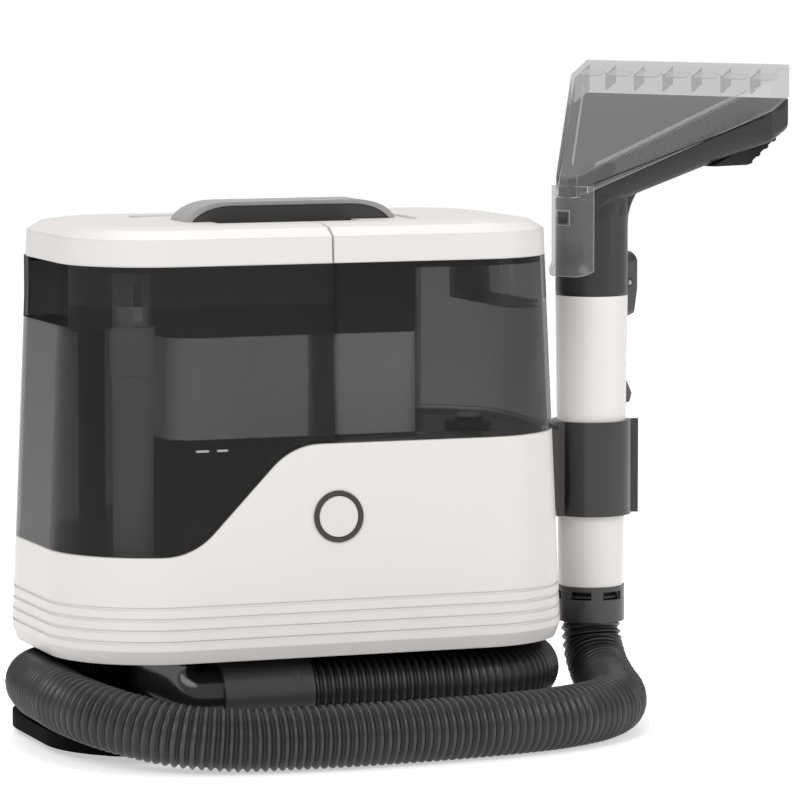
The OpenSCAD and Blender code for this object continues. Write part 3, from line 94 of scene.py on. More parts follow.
# %% Camera
right = Vector((0.9346, -0.3557, 0.0))
up = Vector((0.0355, 0.0933, 0.9950))
back = Vector((-0.3539, -0.9299, 0.0998))
eye = at(-973.7, -2820.7, 489.2)
picture, middle_x, middle_y = 800, 441.72, 414.41
camera_data = bpy.data.cameras.new("product_camera")
camera_data.lens = 225.1
camera_data.sensor_width = 36
camera_data.shift_x = (picture / 2 - middle_x) / picture
camera_data.shift_y = (middle_y - picture / 2) / picture
camera = add_object("product_camera", camera_data)
camera.matrix_world = Matrix((
    (right.x, up.x, back.x, eye.x),
    (right.y, up.y, back.y, eye.y),
    (right.z, up.z, back.z, eye.z),
    (0, 0, 0, 1)))
scene.camera = camera
print("camera is", round((eye - at(0, 0, 150)).length, 2), "m away")

# %% [markdown]
# ## Hose
# The hose leaves a cuff under the housing, goes once round the foot, comes down to the floor
# and climbs into the wand. Its line is drawn as a few points and made smooth by a
# Catmull-Rom curve, the same curve the solid follows, so both lie in one place.

# %% The hose's line
z_hose, z_lie = 33.5, 18.8    # axis height on the foot and on the floor
steps_between = 8
route = [
    (-50, -69, z_hose), (-30, -69, z_hose), (-12, -69, z_hose), (10, -69, z_hose),
    (48, -69, z_hose), (84, -68, z_hose), (118, -58, z_hose), (143, -33, z_hose), (151, 0, z_hose),
    (143, 33, z_hose), (118, 58, z_hose), (84, 70, z_hose), (48, 72, z_hose), (0, 72, z_hose),
    (-48, 72, z_hose), (-84, 70, z_hose), (-118, 60, z_hose), (-145, 34, z_hose),
    (-155, 0, z_hose + 1), (-157, -36, z_hose + 1), (-154, -68, z_hose - 1), (-140, -100, 28),
    (-113, -125, 22), (-80, -138, z_lie), (-42, -144, z_lie), (0, -146, z_lie), (45, -144, z_lie),
    (88, -139, z_lie), (124, -130, z_lie), (154, -114, z_lie), (175, -92, z_lie), (187, -66, z_lie),
    (194, -43, z_lie), (199, -23, 20.5), (201, -6, 27), (202, 6, 38.5),
    (202, 10, 51), (202, 10, 55), (202, 10, 66), (202, 10, 77), (202, 10, 90)]


def smooth_line(points, steps):
    p = [Vector(q) for q in points]
    line = []
    for i in range(len(p) - 1):
        a = p[i - 1] if i else 2 * p[0] - p[1]
        b, c = p[i], p[i + 1]
        d = p[i + 2] if i + 2 < len(p) else 2 * c - b
        for k in range(steps):
            t = k / steps
            line.append(0.5 * (2 * b + t * (c - a) + t * t * (2 * a - 5 * b + 4 * c - d)
                               + t ** 3 * (3 * b - a - 3 * c + d)))
    return line + [p[-1]]


hose_line = [at(*p) for p in smooth_line(route, steps_between)]


# %% [markdown]
# The ribs are one rule repeated along a path, which is what Geometry Nodes are good at. Four
# small helpers keep the node trees short: one fills or links a socket, one adds a node with its
# settings and inputs, one adds a step of arithmetic, and one starts a tree with named inputs.

# %% Helpers for node trees
def give(tree, socket, value):
    if isinstance(value, bpy.types.NodeSocket):
        tree.links.new(value, socket)
    else:
        socket.default_value = (*value, 1) if socket.type == "RGBA" else value


def add_node(tree, kind, inputs=None, **settings):
    node = tree.nodes.new(kind)
    for key, value in settings.items():
        setattr(node, key, value)
    for key, value in (inputs or {}).items():
        give(tree, node.inputs[key], value)
    return node


def math_node(tree, operation, *values):
    inputs = dict(enumerate(values))
    return add_node(tree, "ShaderNodeMath", inputs, operation=operation).outputs[0]


def new_tree(name, inputs):
    tree = bpy.data.node_groups.new(name, "GeometryNodeTree")
    tree.interface.new_socket("Geometry", in_out="INPUT", socket_type="NodeSocketGeometry")
    for label, kind, value in inputs:
        s = tree.interface.new_socket(label, in_out="INPUT", socket_type=kind)
        if value is not None:
            s.default_value = value
    tree.interface.new_socket("Geometry", in_out="OUTPUT", socket_type="NodeSocketGeometry")
    return tree, tree.nodes.new("NodeGroupInput"), tree.nodes.new("NodeGroupOutput")


print("node helpers ready")


# %% [markdown]
# A tree's result is turned into a plain mesh at once, and the object that carried the tree
# goes. The last node of each tree paints the mesh with the material that it was given.

# %% Run a tree
def paint_and_end(tree, geometry, start, end):
    paint = add_node(tree, "GeometryNodeSetMaterial",
                     {"Geometry": geometry, "Material": start.outputs["Material"]})
    tree.links.new(paint.outputs["Geometry"], end.inputs["Geometry"])


def shaped_mesh(obj):
    ready = obj.evaluated_get(bpy.context.evaluated_depsgraph_get())
    return bpy.data.meshes.new_from_object(ready)


def run_tree(obj, tree, values, name):
    modifier = obj.modifiers.new("shape", "NODES")
    modifier.node_group = tree
    for item in tree.interface.items_tree:
        if item.in_out == "INPUT" and item.name in values:
            modifier[item.identifier] = values[item.name]
    piece = add_object(name, shaped_mesh(obj))
    bpy.data.objects.remove(obj)
    print(f"{name}: {len(piece.data.polygons)} faces")
    return piece


# %% [markdown]
# The hose's line is resampled to ten points a rib, a cosine of the place along it gives each
# point its size, and Curve to Mesh sweeps a circle with that size. The place on the rib is
# stored too, for the finish to read.

# %% The rule for the ribs
hose_radius, rib_height = 0.0185, 0.0021
rib_count, hose_sides = 250, 28
points_a_rib, crest_power = 10, 1.1


def hose_tree():
    tree, start, end = new_tree("ribbed hose", [
        ("Radius", "NodeSocketFloat", hose_radius), ("Rib Height", "NodeSocketFloat", rib_height),
        ("Ribs", "NodeSocketInt", rib_count), ("Sides", "NodeSocketInt", hose_sides),
        ("Material", "NodeSocketMaterial", None)])
    given = start.outputs
    points = math_node(tree, "MULTIPLY_ADD", given["Ribs"], points_a_rib, 1)
    line = add_node(tree, "GeometryNodeResampleCurve",
                    {"Curve": given["Geometry"], "Count": points}).outputs["Curve"]
    along = add_node(tree, "GeometryNodeSplineParameter").outputs["Factor"]
    turns = math_node(tree, "MULTIPLY", given["Ribs"], along)
    wave = math_node(tree, "COSINE", math_node(tree, "MULTIPLY", turns, 2 * math.pi))
    crest = math_node(tree, "MULTIPLY_ADD", wave, 0.5, 0.5)
    full = math_node(tree, "POWER", crest, crest_power)
    drop = math_node(tree, "MULTIPLY", math_node(tree, "SUBTRACT", 1.0, full), given["Rib Height"])
    radius = math_node(tree, "SUBTRACT", given["Radius"], drop)
    store = add_node(tree, "GeometryNodeStoreNamedAttribute",
                     {"Name": "rib", "Geometry": line, "Value": full},
                     data_type="FLOAT", domain="POINT")
    ring = add_node(tree, "GeometryNodeCurvePrimitiveCircle",
                    {"Radius": 1.0, "Resolution": given["Sides"]})
    sweep = add_node(tree, "GeometryNodeCurveToMesh",
                     {"Curve": store.outputs["Geometry"], "Profile Curve": ring.outputs["Curve"],
                      "Scale": radius, "Fill Caps": True})
    paint_and_end(tree, sweep.outputs["Mesh"], start, end)
    return tree


def poly_curve(name, points):
    data = bpy.data.curves.new(name, "CURVE")
    data.dimensions = "3D"
    spline = data.splines.new("POLY")
    spline.points.add(len(points) - 1)
    for sp, p in zip(spline.points, points):
        sp.co = (*p, 1)
    return add_object(name, data)


# %% Build the ribbed hose
hose_finish = bpy.data.materials.new("hose_skin")
hose = run_tree(poly_curve("hose_line", hose_line), hose_tree(),
                {"Radius": hose_radius, "Rib Height": rib_height, "Ribs": rib_count,
                 "Sides": hose_sides, "Material": hose_finish}, "ribbed_hose")
for face in hose.data.polygons:
    face.use_smooth = True
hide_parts("hose")
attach(hose, "machine")

# %% [markdown]
# ## Finishes
# Moulded plastic is never one flat colour. It has a fine grain from the mould, slow changes in
# tone, and rounded edges that catch the light, which are also painted lighter, a painted highlight.
# One shader node group makes all three from Object coordinates, and each plastic uses it with its
# own values. Its outputs are only a colour, a
# roughness, a height, a rounded normal and a mask of the edges; the shader itself stays in each
# material.

# %% Steps that the finishes share
def shader_group(name, inputs, outputs):
    group = bpy.data.node_groups.new(name, "ShaderNodeTree")
    for label, kind, value in inputs:
        s = group.interface.new_socket(label, in_out="INPUT", socket_type=kind)
        s.default_value = value
    for label, kind in outputs:
        group.interface.new_socket(label, in_out="OUTPUT", socket_type=kind)
    return group, group.nodes.new("NodeGroupInput"), group.nodes.new("NodeGroupOutput")


def object_coords(tree):
    return add_node(tree, "ShaderNodeTexCoord").outputs["Object"]


def noise(tree, coords, scale, detail=2.0, rough=0.5):
    return add_node(tree, "ShaderNodeTexNoise", {
        "Detail": detail, "Roughness": rough, "Vector": coords, "Scale": scale}).outputs["Fac"]


def toned(tree, colour, value):
    inputs = {"Color": colour, "Value": value}
    return add_node(tree, "ShaderNodeHueSaturation", inputs).outputs["Color"]


def mixed(tree, mask, low, high):
    inputs = {0: mask, 6: low, 7: high}
    return add_node(tree, "ShaderNodeMix", inputs, data_type="RGBA").outputs[2]


def add_bump(tree, shader, height, strength, distance=0.0004):
    bump = add_node(tree, "ShaderNodeBump",
                    {"Height": height, "Strength": strength, "Distance": distance})
    tree.links.new(bump.outputs["Normal"], shader.inputs["Normal"])
    return bump


print("finish helpers ready")


# %% The moulded surface
def moulded_group():
    group, start, end = shader_group("moulded surface", [
        ("Colour", "NodeSocketColor", (0.8, 0.8, 0.8, 1)), ("Roughness", "NodeSocketFloat", 0.4),
        ("Grain Scale", "NodeSocketFloat", 900.0), ("Tone Change", "NodeSocketFloat", 0.04),
        ("Edge Radius", "NodeSocketFloat", 0.0006), ("Painted Edge Highlight", "NodeSocketFloat", 0.1)],
        [("Colour", "NodeSocketColor"), ("Roughness", "NodeSocketFloat"),
         ("Height", "NodeSocketFloat"), ("Soft Normal", "NodeSocketVector"),
         ("Edge", "NodeSocketFloat")])
    cloud_scale, smear_scale, edge_gain, wear = 14.0, 55.0, 3.0, 0.16
    given = start.outputs
    coords = object_coords(group)
    grain = noise(group, coords, given["Grain Scale"], 3.0, 0.6)
    cloud = noise(group, coords, cloud_scale, 3.0)
    smear = noise(group, coords, smear_scale, 4.0, 0.6)
    soft = add_node(group, "ShaderNodeBevel", {"Radius": given["Edge Radius"]}, samples=4)
    hard = add_node(group, "ShaderNodeNewGeometry")
    dot = add_node(group, "ShaderNodeVectorMath",
                   {0: soft.outputs["Normal"], 1: hard.outputs["Normal"]}, operation="DOT_PRODUCT")
    edge = math_node(group, "SUBTRACT", 1.0, dot.outputs["Value"])
    edge = math_node(group, "MINIMUM", math_node(group, "MULTIPLY", edge, edge_gain), 1.0)
    shift = math_node(group, "MULTIPLY", math_node(group, "SUBTRACT", cloud, 0.5),
                      given["Tone Change"])
    # lift paints a highlight: it makes the colour lighter along the edges.
    lift = math_node(group, "MULTIPLY", edge, given["Painted Edge Highlight"])
    base = math_node(group, "ADD", 1.0, math_node(group, "MULTIPLY", shift, 2.0))
    worn = math_node(group, "MULTIPLY", math_node(group, "SUBTRACT", smear, 0.5), wear)
    results = {"Colour": toned(group, given["Colour"], math_node(group, "ADD", base, lift)),
               "Roughness": math_node(group, "ADD", given["Roughness"], worn),
               "Height": grain, "Edge": edge, "Soft Normal": soft.outputs["Normal"]}
    for label, value in results.items():
        group.links.new(value, end.inputs[label])
    return group


moulded = moulded_group()
print("moulded surface group:", len(moulded.nodes), "nodes")


# %% [markdown]
# Nineteen plastics and a rubber differ only in numbers, so they are one table. Whites are smooth
# and even, dark plastics have a livelier grain and edges painted lighter, a painted highlight, and
# rubber is dull.

# %% Moulded plastics and rubbers
def start_material(name):
    material = bpy.data.materials.get(name) or bpy.data.materials.new(name)
    material.use_nodes = True
    return material, material.node_tree, material.node_tree.nodes["Principled BSDF"]


def moulded_plastic(name, colour, rough, grain, depth, tone, edge_radius, painted_edge_highlight,
                    coat=0.0, specular=0.5):
    material, tree, shader = start_material(name)
    skin = add_node(tree, "ShaderNodeGroup", {
        "Colour": colour, "Roughness": rough, "Grain Scale": grain, "Tone Change": tone,
        "Edge Radius": edge_radius, "Painted Edge Highlight": painted_edge_highlight}, node_tree=moulded)
    bump = add_bump(tree, shader, skin.outputs["Height"], depth)
    tree.links.new(skin.outputs["Soft Normal"], bump.inputs["Normal"])
    for label, value in (("Base Color", skin.outputs["Colour"]),
                         ("Roughness", skin.outputs["Roughness"]),
                         ("Specular IOR Level", specular),
                         ("Coat Weight", coat), ("Coat Roughness", 0.12)):
        give(tree, shader.inputs[label], value)
    return material


plastics = {
    # name: colour, roughness, grain, depth, tone, edge radius, painted edge highlight, coat,
    # specular
    "white_shell": ((0.83, 0.80, 0.77), 0.34, 1400, 0.05, 0.015, 0.0009, 0.03),
    "white_lid": ((0.82, 0.79, 0.765), 0.36, 1400, 0.05, 0.015, 0.0016, 0.03),
    # white_tube is the housing's white painted brighter: a painted highlight for the light on the
    # tube.
    "white_tube": ((0.90, 0.875, 0.85), 0.30, 1400, 0.0, 0.006, 0.0, 0.0),
    "white_button": ((0.80, 0.78, 0.755), 0.3, 1600, 0.04, 0.01, 0.0008, 0.02),
    "dark_shell": ((0.036, 0.035, 0.034), 0.38, 1100, 0.12, 0.10, 0.0007, 0.5),
    "handle_side": ((0.040, 0.038, 0.036), 0.42, 1000, 0.14, 0.10, 0.0012, 0.5),
    # The handle top is the handle's dark plastic painted mid-grey: a painted highlight for its lit
    # top face.
    "handle_top_lit": ((0.34, 0.335, 0.33), 0.28, 1000, 0.08, 0.06, 0.0012, 0.3, 0.3),
    "nozzle_paint": ((0.034, 0.033, 0.032), 0.38, 1000, 0.12, 0.08, 0.0012, 0.3, 0.0, 0.35),
    "clip_skin": ((0.030, 0.028, 0.027), 0.24, 1100, 0.06, 0.10, 0.0009, 0.5),
    "cuff_skin": ((0.056, 0.054, 0.052), 0.30, 1100, 0.08, 0.10, 0.0007, 0.6),
    "black_shell": ((0.014, 0.014, 0.014), 0.42, 1000, 0.12, 0.15, 0.0007, 0.8),
    "base_black": ((0.004, 0.004, 0.004), 0.7, 1000, 0.12, 0.15, 0.0007, 0.3, 0.0, 0.03),
    "tube_black": ((0.006, 0.006, 0.006), 0.5, 1000, 0.08, 0.15, 0.0007, 0.3, 0.0, 0.15),
    "gloss_black": ((0.014, 0.014, 0.015), 0.13, 1000, 0.02, 0.1, 0.0008, 0.8, 0.5),
    "warm_grey": ((0.26, 0.247, 0.232), 0.42, 1000, 0.10, 0.06, 0.001, 0.15),
    "tower_grey": ((0.92, 0.89, 0.86), 0.42, 1000, 0.10, 0.06, 0.001, 0.1),
    "pipe_grey": ((0.42, 0.41, 0.40), 0.34, 1000, 0.06, 0.06, 0.001, 0.1),
    "pale_float": ((0.69, 0.66, 0.62), 0.45, 900, 0.10, 0.05, 0.0006, 0.05),
    "mark_grey": ((0.42, 0.41, 0.40), 0.5, 900, 0.05, 0.05, 0.0003, 0.0),
    "soft_rubber": ((0.014, 0.014, 0.015), 0.72, 700, 0.3, 0.2, 0.0005, 1.0, 0.0, 0.3),
}
finish = {name: moulded_plastic(name, *values) for name, values in plastics.items()}
print(len(finish), "moulded materials ready")

# %% [markdown]
# The hose plastic reads the attribute that its tree stored: one on a crest, nought in a valley.
# Valleys see less light: their colour is painted darker, a painted shade, and they are duller,
# while the crests are polished by the floor. A dust noise varies the crests' tone.

# %% Hose plastic
# The valley colour is a painted shade: the hose's dark colour made darker still in the grooves.
valley_painted_shade, crest = (0.002, 0.002, 0.002), (0.040, 0.039, 0.038)
valley_rough, polish = 0.50, -0.22
material, tree, shader = start_material("hose_skin")
rib = add_node(tree, "ShaderNodeAttribute", attribute_name="rib").outputs["Fac"]
coords = object_coords(tree)
dust = noise(tree, coords, 60.0, 4.0, 0.6)
# The rib mask paints the shade into the valleys; the dust noise varies the crests' tone.
lit_crest_and_dust = math_node(tree, "MULTIPLY", rib, math_node(tree, "MULTIPLY_ADD", dust, 0.5, 0.75))
give(tree, shader.inputs["Base Color"], mixed(tree, lit_crest_and_dust, valley_painted_shade, crest))
give(tree, shader.inputs["Roughness"], math_node(tree, "MULTIPLY_ADD", rib, polish, valley_rough))
add_bump(tree, shader, noise(tree, coords, 500.0, 3.0), 0.05)
print("hose plastic ready")


# %% [markdown]
# The tanks are smoked: light comes through, but each wall takes some away, and at a glancing
# angle the surface turns into a mirror. Alpha gives the loss, and a Fresnel node raises it
# towards the edges. This keeps shadows soft and the render quick, where real refraction would
# hide what stands in the tank. The tanks' walls that stand beside the tower are thinned, so
# that the tower shows through the front wall.

# %% See-through plastics
glass_ior, rim_alpha, tower_margin = 1.5, 0.45, 0.005


def see_through(name, colour, face_alpha, edge_alpha, rough, ripple, inside_light, specular,
                rim_highlight_colour, edge_width, thin_at_tower=0.0):
    material, tree, shader = start_material(name)
    coords = object_coords(tree)
    side = add_node(tree, "ShaderNodeNewGeometry").outputs["Backfacing"]
    ior = math_node(tree, "MULTIPLY_ADD", side, 1 / glass_ior - glass_ior, glass_ior)
    fresnel = add_node(tree, "ShaderNodeFresnel", {"IOR": ior}).outputs["Fac"]
    ray = add_node(tree, "ShaderNodeLightPath").outputs
    alpha = math_node(tree, "MULTIPLY_ADD", fresnel, edge_alpha - face_alpha, face_alpha)
    lamp_ray = math_node(tree, "MAXIMUM", ray["Is Shadow Ray"], ray["Is Diffuse Ray"])
    kept = math_node(tree, "MULTIPLY_ADD", lamp_ray, -inside_light, 1.0)
    rim = add_node(tree, "ShaderNodeGroup", {"Edge Radius": edge_width},
                   node_tree=moulded).outputs["Edge"]
    alpha = math_node(tree, "MULTIPLY_ADD", rim, rim_alpha, alpha)
    if thin_at_tower:
        place = add_node(tree, "ShaderNodeSeparateXYZ", {0: coords}).outputs
        low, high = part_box("tower_cover")
        beside = math_node(tree, "MULTIPLY", *[
            math_node(tree, "COMPARE", place[axis], (low[k] + high[k]) / 2,
                      (high[k] - low[k]) / 2 + tower_margin) for k, axis in enumerate("XY")])
        alpha = math_node(tree, "MULTIPLY", alpha,
                          math_node(tree, "MULTIPLY_ADD", beside, -thin_at_tower, 1.0))
    alpha = math_node(tree, "MINIMUM", math_node(tree, "MULTIPLY", alpha, kept), 1.0)
    cloud = math_node(tree, "MULTIPLY_ADD", noise(tree, coords, 9.0, 2.0), 0.3, 0.85)
    smear = math_node(tree, "MULTIPLY_ADD", noise(tree, coords, 40.0, 3.0), 0.08, rough)
    add_bump(tree, shader, noise(tree, coords, 22.0, 1.0), ripple, 0.002)
    # On the edges the base colour turns to the rim colour: a painted highlight.
    for label, value in (
            ("Alpha", alpha), ("Roughness", smear), ("IOR", glass_ior),
            ("Specular IOR Level", specular),
            ("Base Color", mixed(tree, rim, toned(tree, colour, cloud), rim_highlight_colour))):
        give(tree, shader.inputs[label], value)
    return material


smoke = dict(colour=(0.020, 0.0195, 0.019), edge_alpha=1.2, rough=0.06, ripple=0.02,
             inside_light=0.95, specular=0.14, rim_highlight_colour=(0.03, 0.03, 0.03), edge_width=0.0006)
glass = dict(ripple=0.01, inside_light=0.8, specular=0.5)
finish["smoked"] = see_through("smoked_plastic", face_alpha=0.62, thin_at_tower=0.85, **smoke)
finish["smoked_light"] = see_through("smoked_light", face_alpha=0.46, thin_at_tower=0.45, **smoke)
# The clear plastic's grey colour is a painted reflection: it stands in for the haze of light the
# cover reflects.
finish["clear"] = see_through("clear_plastic", colour=(0.24, 0.24, 0.24), face_alpha=0.24,
                              edge_alpha=1.3, rough=0.05, rim_highlight_colour=(0.80, 0.80, 0.79),
                              edge_width=0.0009, **glass)
# This pale see-through finish is a painted highlight: its pale colour makes the pads and rails show
# as bright lines.
finish["frosted"] = see_through("frosted_plastic", colour=(0.80, 0.80, 0.79), face_alpha=0.26,
                                edge_alpha=1.0, rough=0.3, rim_highlight_colour=(0.90, 0.90, 0.89),
                                edge_width=0.0006, **glass)
print("see-through plastics ready")

# %% [markdown]
# Bare steel shows fine brushed lines. A noise stretched hard along one direction gives them: it
# changes the roughness, and the colour only a little. The circuit board's tracks are a fine
# brick pattern.

# %% Steel and circuit board
finish["steel"], tree, shader = start_material("brushed_steel")
stretch = add_node(tree, "ShaderNodeMapping", {"Scale": (60, 60, 1400),
                                               "Vector": object_coords(tree)})
lines = noise(tree, stretch.outputs["Vector"], 1.0, 3.0)
shine = math_node(tree, "MULTIPLY_ADD", lines, 0.3, 0.85)
for label, value in (("Metallic", 1.0), ("Base Color", toned(tree, (0.42, 0.43, 0.45), shine)),
                     ("Roughness", math_node(tree, "MULTIPLY_ADD", lines, 0.25, 0.22))):
    give(tree, shader.inputs[label], value)

finish["board"], tree, shader = start_material("circuit_board")
coords = object_coords(tree)
tracks = add_node(tree, "ShaderNodeTexBrick", {
    "Scale": 90, "Color1": (0.02, 0.10, 0.05), "Color2": (0.025, 0.13, 0.06),
    "Mortar": (0.09, 0.22, 0.09), "Vector": coords})
give(tree, shader.inputs["Base Color"], tracks.outputs["Color"])
give(tree, shader.inputs["Roughness"],
     math_node(tree, "MULTIPLY_ADD", noise(tree, coords, 200.0), 0.2, 0.3))
print("steel and board ready")

# %% [markdown]
# ## Who wears what
# Each solid keeps its shape and only gets its finish. A table from finish to solids is easier
# to check than a line for each solid.

# %% Dress the solids
wearers = {
    "white_shell": ["housing", "exhaust_grille", "well_trim"],
    "white_lid": ["dirty_lid", "clean_lid"],
    "white_tube": ["wand_tube"],
    "white_button": ["power_button"],
    "handle_side": ["handle_grip"],
    "handle_top_lit": ["handle_cap"],
    "nozzle_paint": ["nozzle_body"],
    "clip_skin": ["wand_clip", "wand_bracket"],
    "cuff_skin": ["elbow_cuff", "hose_cuff"],
    "dark_shell": ["hand_well", "button_ring"],
    "base_black": ["base_plate", "base_column", "under_pan"],
    "tube_black": ["riser_tube"],
    "black_shell": ["motor_box", "button_switch", "motor_mounts", "fan_housing", "valve_socket",
                    "suction_duct", "air_duct", "cord_inlet", "valve_seat", "water_pump",
                    "spray_valve", "spray_jet"],
    "gloss_black": ["hose_elbow", "trigger", "latch"],
    "tower_grey": ["tower_cover"],
    "pipe_grey": ["standpipe"],
    "warm_grey": ["fan_wheel", "valve_plunger"],
    "pale_float": ["float"],
    "smoked": ["dirty_tank"],
    "smoked_light": ["clean_tank"],
    "clear": ["nozzle_cover", "float_cage", "feed_tube", "solution_line", "spray_line"],
    "soft_rubber": ["rubber_feet", "dirty_lid_seal", "clean_lid_seal", "brush_pad"],
    "steel": ["pan_screws", "handle_screws", "motor_shaft", "suction_motor", "clip_screws",
              "trigger_pin", "latch_pin"],
    "board": ["control_board"],
}
for worn, names in wearers.items():
    for name in names:
        solid = nodes[name]
        if not solid.material_slots:
            solid.data.materials.append(finish[worn])
        for socket in solid.material_slots:
            socket.material = finish[worn]
dressed = {n for names in wearers.values() for n in names}
print("not dressed:", sorted(set(nodes) - dressed))


# %% [markdown]
# ## Nozzle
# The nozzle is one moulding: a tube that bends into a flat fan, with soft edges all over. Its
# lines are plain rules in the wand's own millimetres, x towards the mouth: the height of the
# face, the height of the underside and half the fan's width.

# %% Lines of the fan
fan_start, fan_half, flare = -24.9, 79.5, 0.688162
face_slope = 0.552


def face_z(x):
    return 343.745 + face_slope * x


def under_z(x):
    return 312.253 + 0.4519 * x


def half_width(x):
    return min(8 + flare * (x - fan_start), fan_half)


print("fan is", 2 * fan_half, "mm wide at the mouth")


# %% Helpers for new pieces
def mend_faces(mesh, weld=0.0):
    bm = bmesh.new()
    bm.from_mesh(mesh)
    if weld:
        bmesh.ops.remove_doubles(bm, verts=bm.verts, dist=weld)
    bmesh.ops.recalc_face_normals(bm, faces=bm.faces)
    bm.to_mesh(mesh)
    bm.free()


def merged_copy(node, name):
    mesh = nodes[node].data.copy()
    mesh.materials.clear()
    mend_faces(mesh, weld=2e-6)
    return add_object(name, mesh)


def new_piece(name, verts, faces):
    mesh = bpy.data.meshes.new(name)
    mesh.from_pydata(verts, [], faces)
    mend_faces(mesh)
    return add_object(name, mesh)


def bake_modifiers(obj):
    mesh = shaped_mesh(obj)
    obj.modifiers.clear()
    obj.data = mesh


def finish_piece(obj, material, body, smooth=True):
    obj.data.materials.clear()
    obj.data.materials.append(material)
    for face in obj.data.polygons:
        face.use_smooth = smooth
    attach(obj, body)
    print(f"{obj.name}: {len(obj.data.polygons)} faces, rides on {body}")
    return obj


print("piece helpers ready")

# %% [markdown]
# The solid has the right walls but knife edges. A copy is rebuilt from small even faces (a
# voxel remesh), its long lower edges are rolled round by moving each point along its own ray,
# and a few smoothing passes soften the rest, the way a mould maker would radius every corner.

# %% Round the nozzle
roll, smallest_roll = 12.0, 0.5           # radius of the rolled edges
roll_start, fade_in = fan_start + 6, 20   # where the roll begins, and how long it grows
slim_from, slim_over, slimmest = 62, 40, 0.45
neck_top, middle_band = 306, 9            # the neck and the underside's middle stay as they are

nozzle = merged_copy("nozzle_body", "nozzle_skin")
remesh = nozzle.modifiers.new("even", "REMESH")
remesh.mode, remesh.voxel_size = "VOXEL", 0.0011
bake_modifiers(nozzle)
for v in nozzle.data.vertices:
    x, y, z = off_wand(v.co)
    if x < roll_start or z < neck_top:
        continue
    slim = 1.0 if x < slim_from else max(slimmest, 1 - (x - slim_from) / slim_over)
    r = roll * (min(1.0, (x - fan_start - 6) / fade_in) * slim)
    a, b = half_width(x) - abs(y), z - under_z(x)
    if r < smallest_roll or a >= r or b >= r or abs(y) < middle_band:
        continue
    p, q = r - max(a, 0), r - max(b, 0)
    shrink = max(p, q) / math.hypot(p, q)
    new_y = math.copysign(half_width(x) - r + p * shrink, y)
    v.co = on_wand(x, new_y, under_z(x) + r - q * shrink)
soften = nozzle.modifiers.new("soften", "SMOOTH")
soften.factor, soften.iterations = 0.5, 3
bake_modifiers(nozzle)
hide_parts("nozzle_body")
finish_piece(nozzle, finish["nozzle_paint"], "nozzle")

# %% [markdown]
# Two mouldings meet along the nozzle's flank, and the eye finds that thin dark line at once. It
# is a strip a few tenths of a millimetre proud, bent along the flank from one cheek of the
# mouth to the other.

# %% Parting line
flank = math.atan(flare)
proud = 0.12
hand = {-1: "right", 1: "left"}


def seam_z(x):
    return face_z(x) - 11.7 - 0.114 * x


def along_flank(side, places, inset=0.0):
    return [(x, side * (half_width(x) - inset), -math.sin(flank), side * math.cos(flank))
            for x in places]


def ribbon(name, outline, z_at, height, thick):
    verts, faces = [], []
    for x, y, nx, ny in outline:
        for out, dz in ((-thick, -height / 2), (proud, -height / 2),
                        (proud, height / 2), (-thick, height / 2)):
            verts.append(on_wand(x + nx * out, y + ny * out, z_at(x) + dz))
    for i in range(len(outline) - 1):
        for k in range(4):
            a, b = 4 * i + k, 4 * i + (k + 1) % 4
            faces.append((a, b, b + 4, a + 4))
    faces += [(3, 2, 1, 0), tuple(len(verts) - 4 + k for k in range(4))]
    return new_piece(name, verts, faces)


for side in (-1, 1):
    cheek = [(x, side * fan_half, 0, side) for x in (84, 91)]
    line = along_flank(side, [-16 + 5 * i for i in range(19)]) + cheek
    seam = ribbon("nozzle_seam_" + hand[side], line, seam_z, 0.55, 0.6)
    finish_piece(seam, finish["tube_black"], "nozzle", smooth=False)

# %% [markdown]
# ## Clear cover
# Clear plastic is drawn by its edges: they gather light and show as pale lines. The cover's copy
# gets a small bevel on every edge, so that there is a face to catch the light, and the finish
# is painted paler and denser there, a painted highlight. Under its face run two rails, and a row
# of small pads stands between the ribs of the mouth; their pale finish is a painted highlight too.

# %% Bevel the cover
flat_enough, sharp_enough = math.radians(1.0), math.radians(35)
cover = merged_copy("nozzle_cover", "cover_shell")
bm = bmesh.new()
bm.from_mesh(cover.data)
bmesh.ops.dissolve_limit(bm, angle_limit=flat_enough, verts=bm.verts, edges=bm.edges)
bm.to_mesh(cover.data)
bm.free()
bevel = cover.modifiers.new("edges", "BEVEL")
bevel.width, bevel.segments, bevel.limit_method = 0.0005, 2, "ANGLE"
bevel.angle_limit = sharp_enough
bevel.use_clamp_overlap = True
bake_modifiers(cover)
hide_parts("nozzle_cover")
finish_piece(cover, finish["clear"], "nozzle_cover", smooth=False)


# %% [markdown]
# A row of equal pads is a rule as well. The tree rounds the corners of a rectangle, gives it a
# thickness, closes its underside and sets it on each point of a line. The pads at the mouth,
# the level marks and the latch's ridges all come from this one tree.

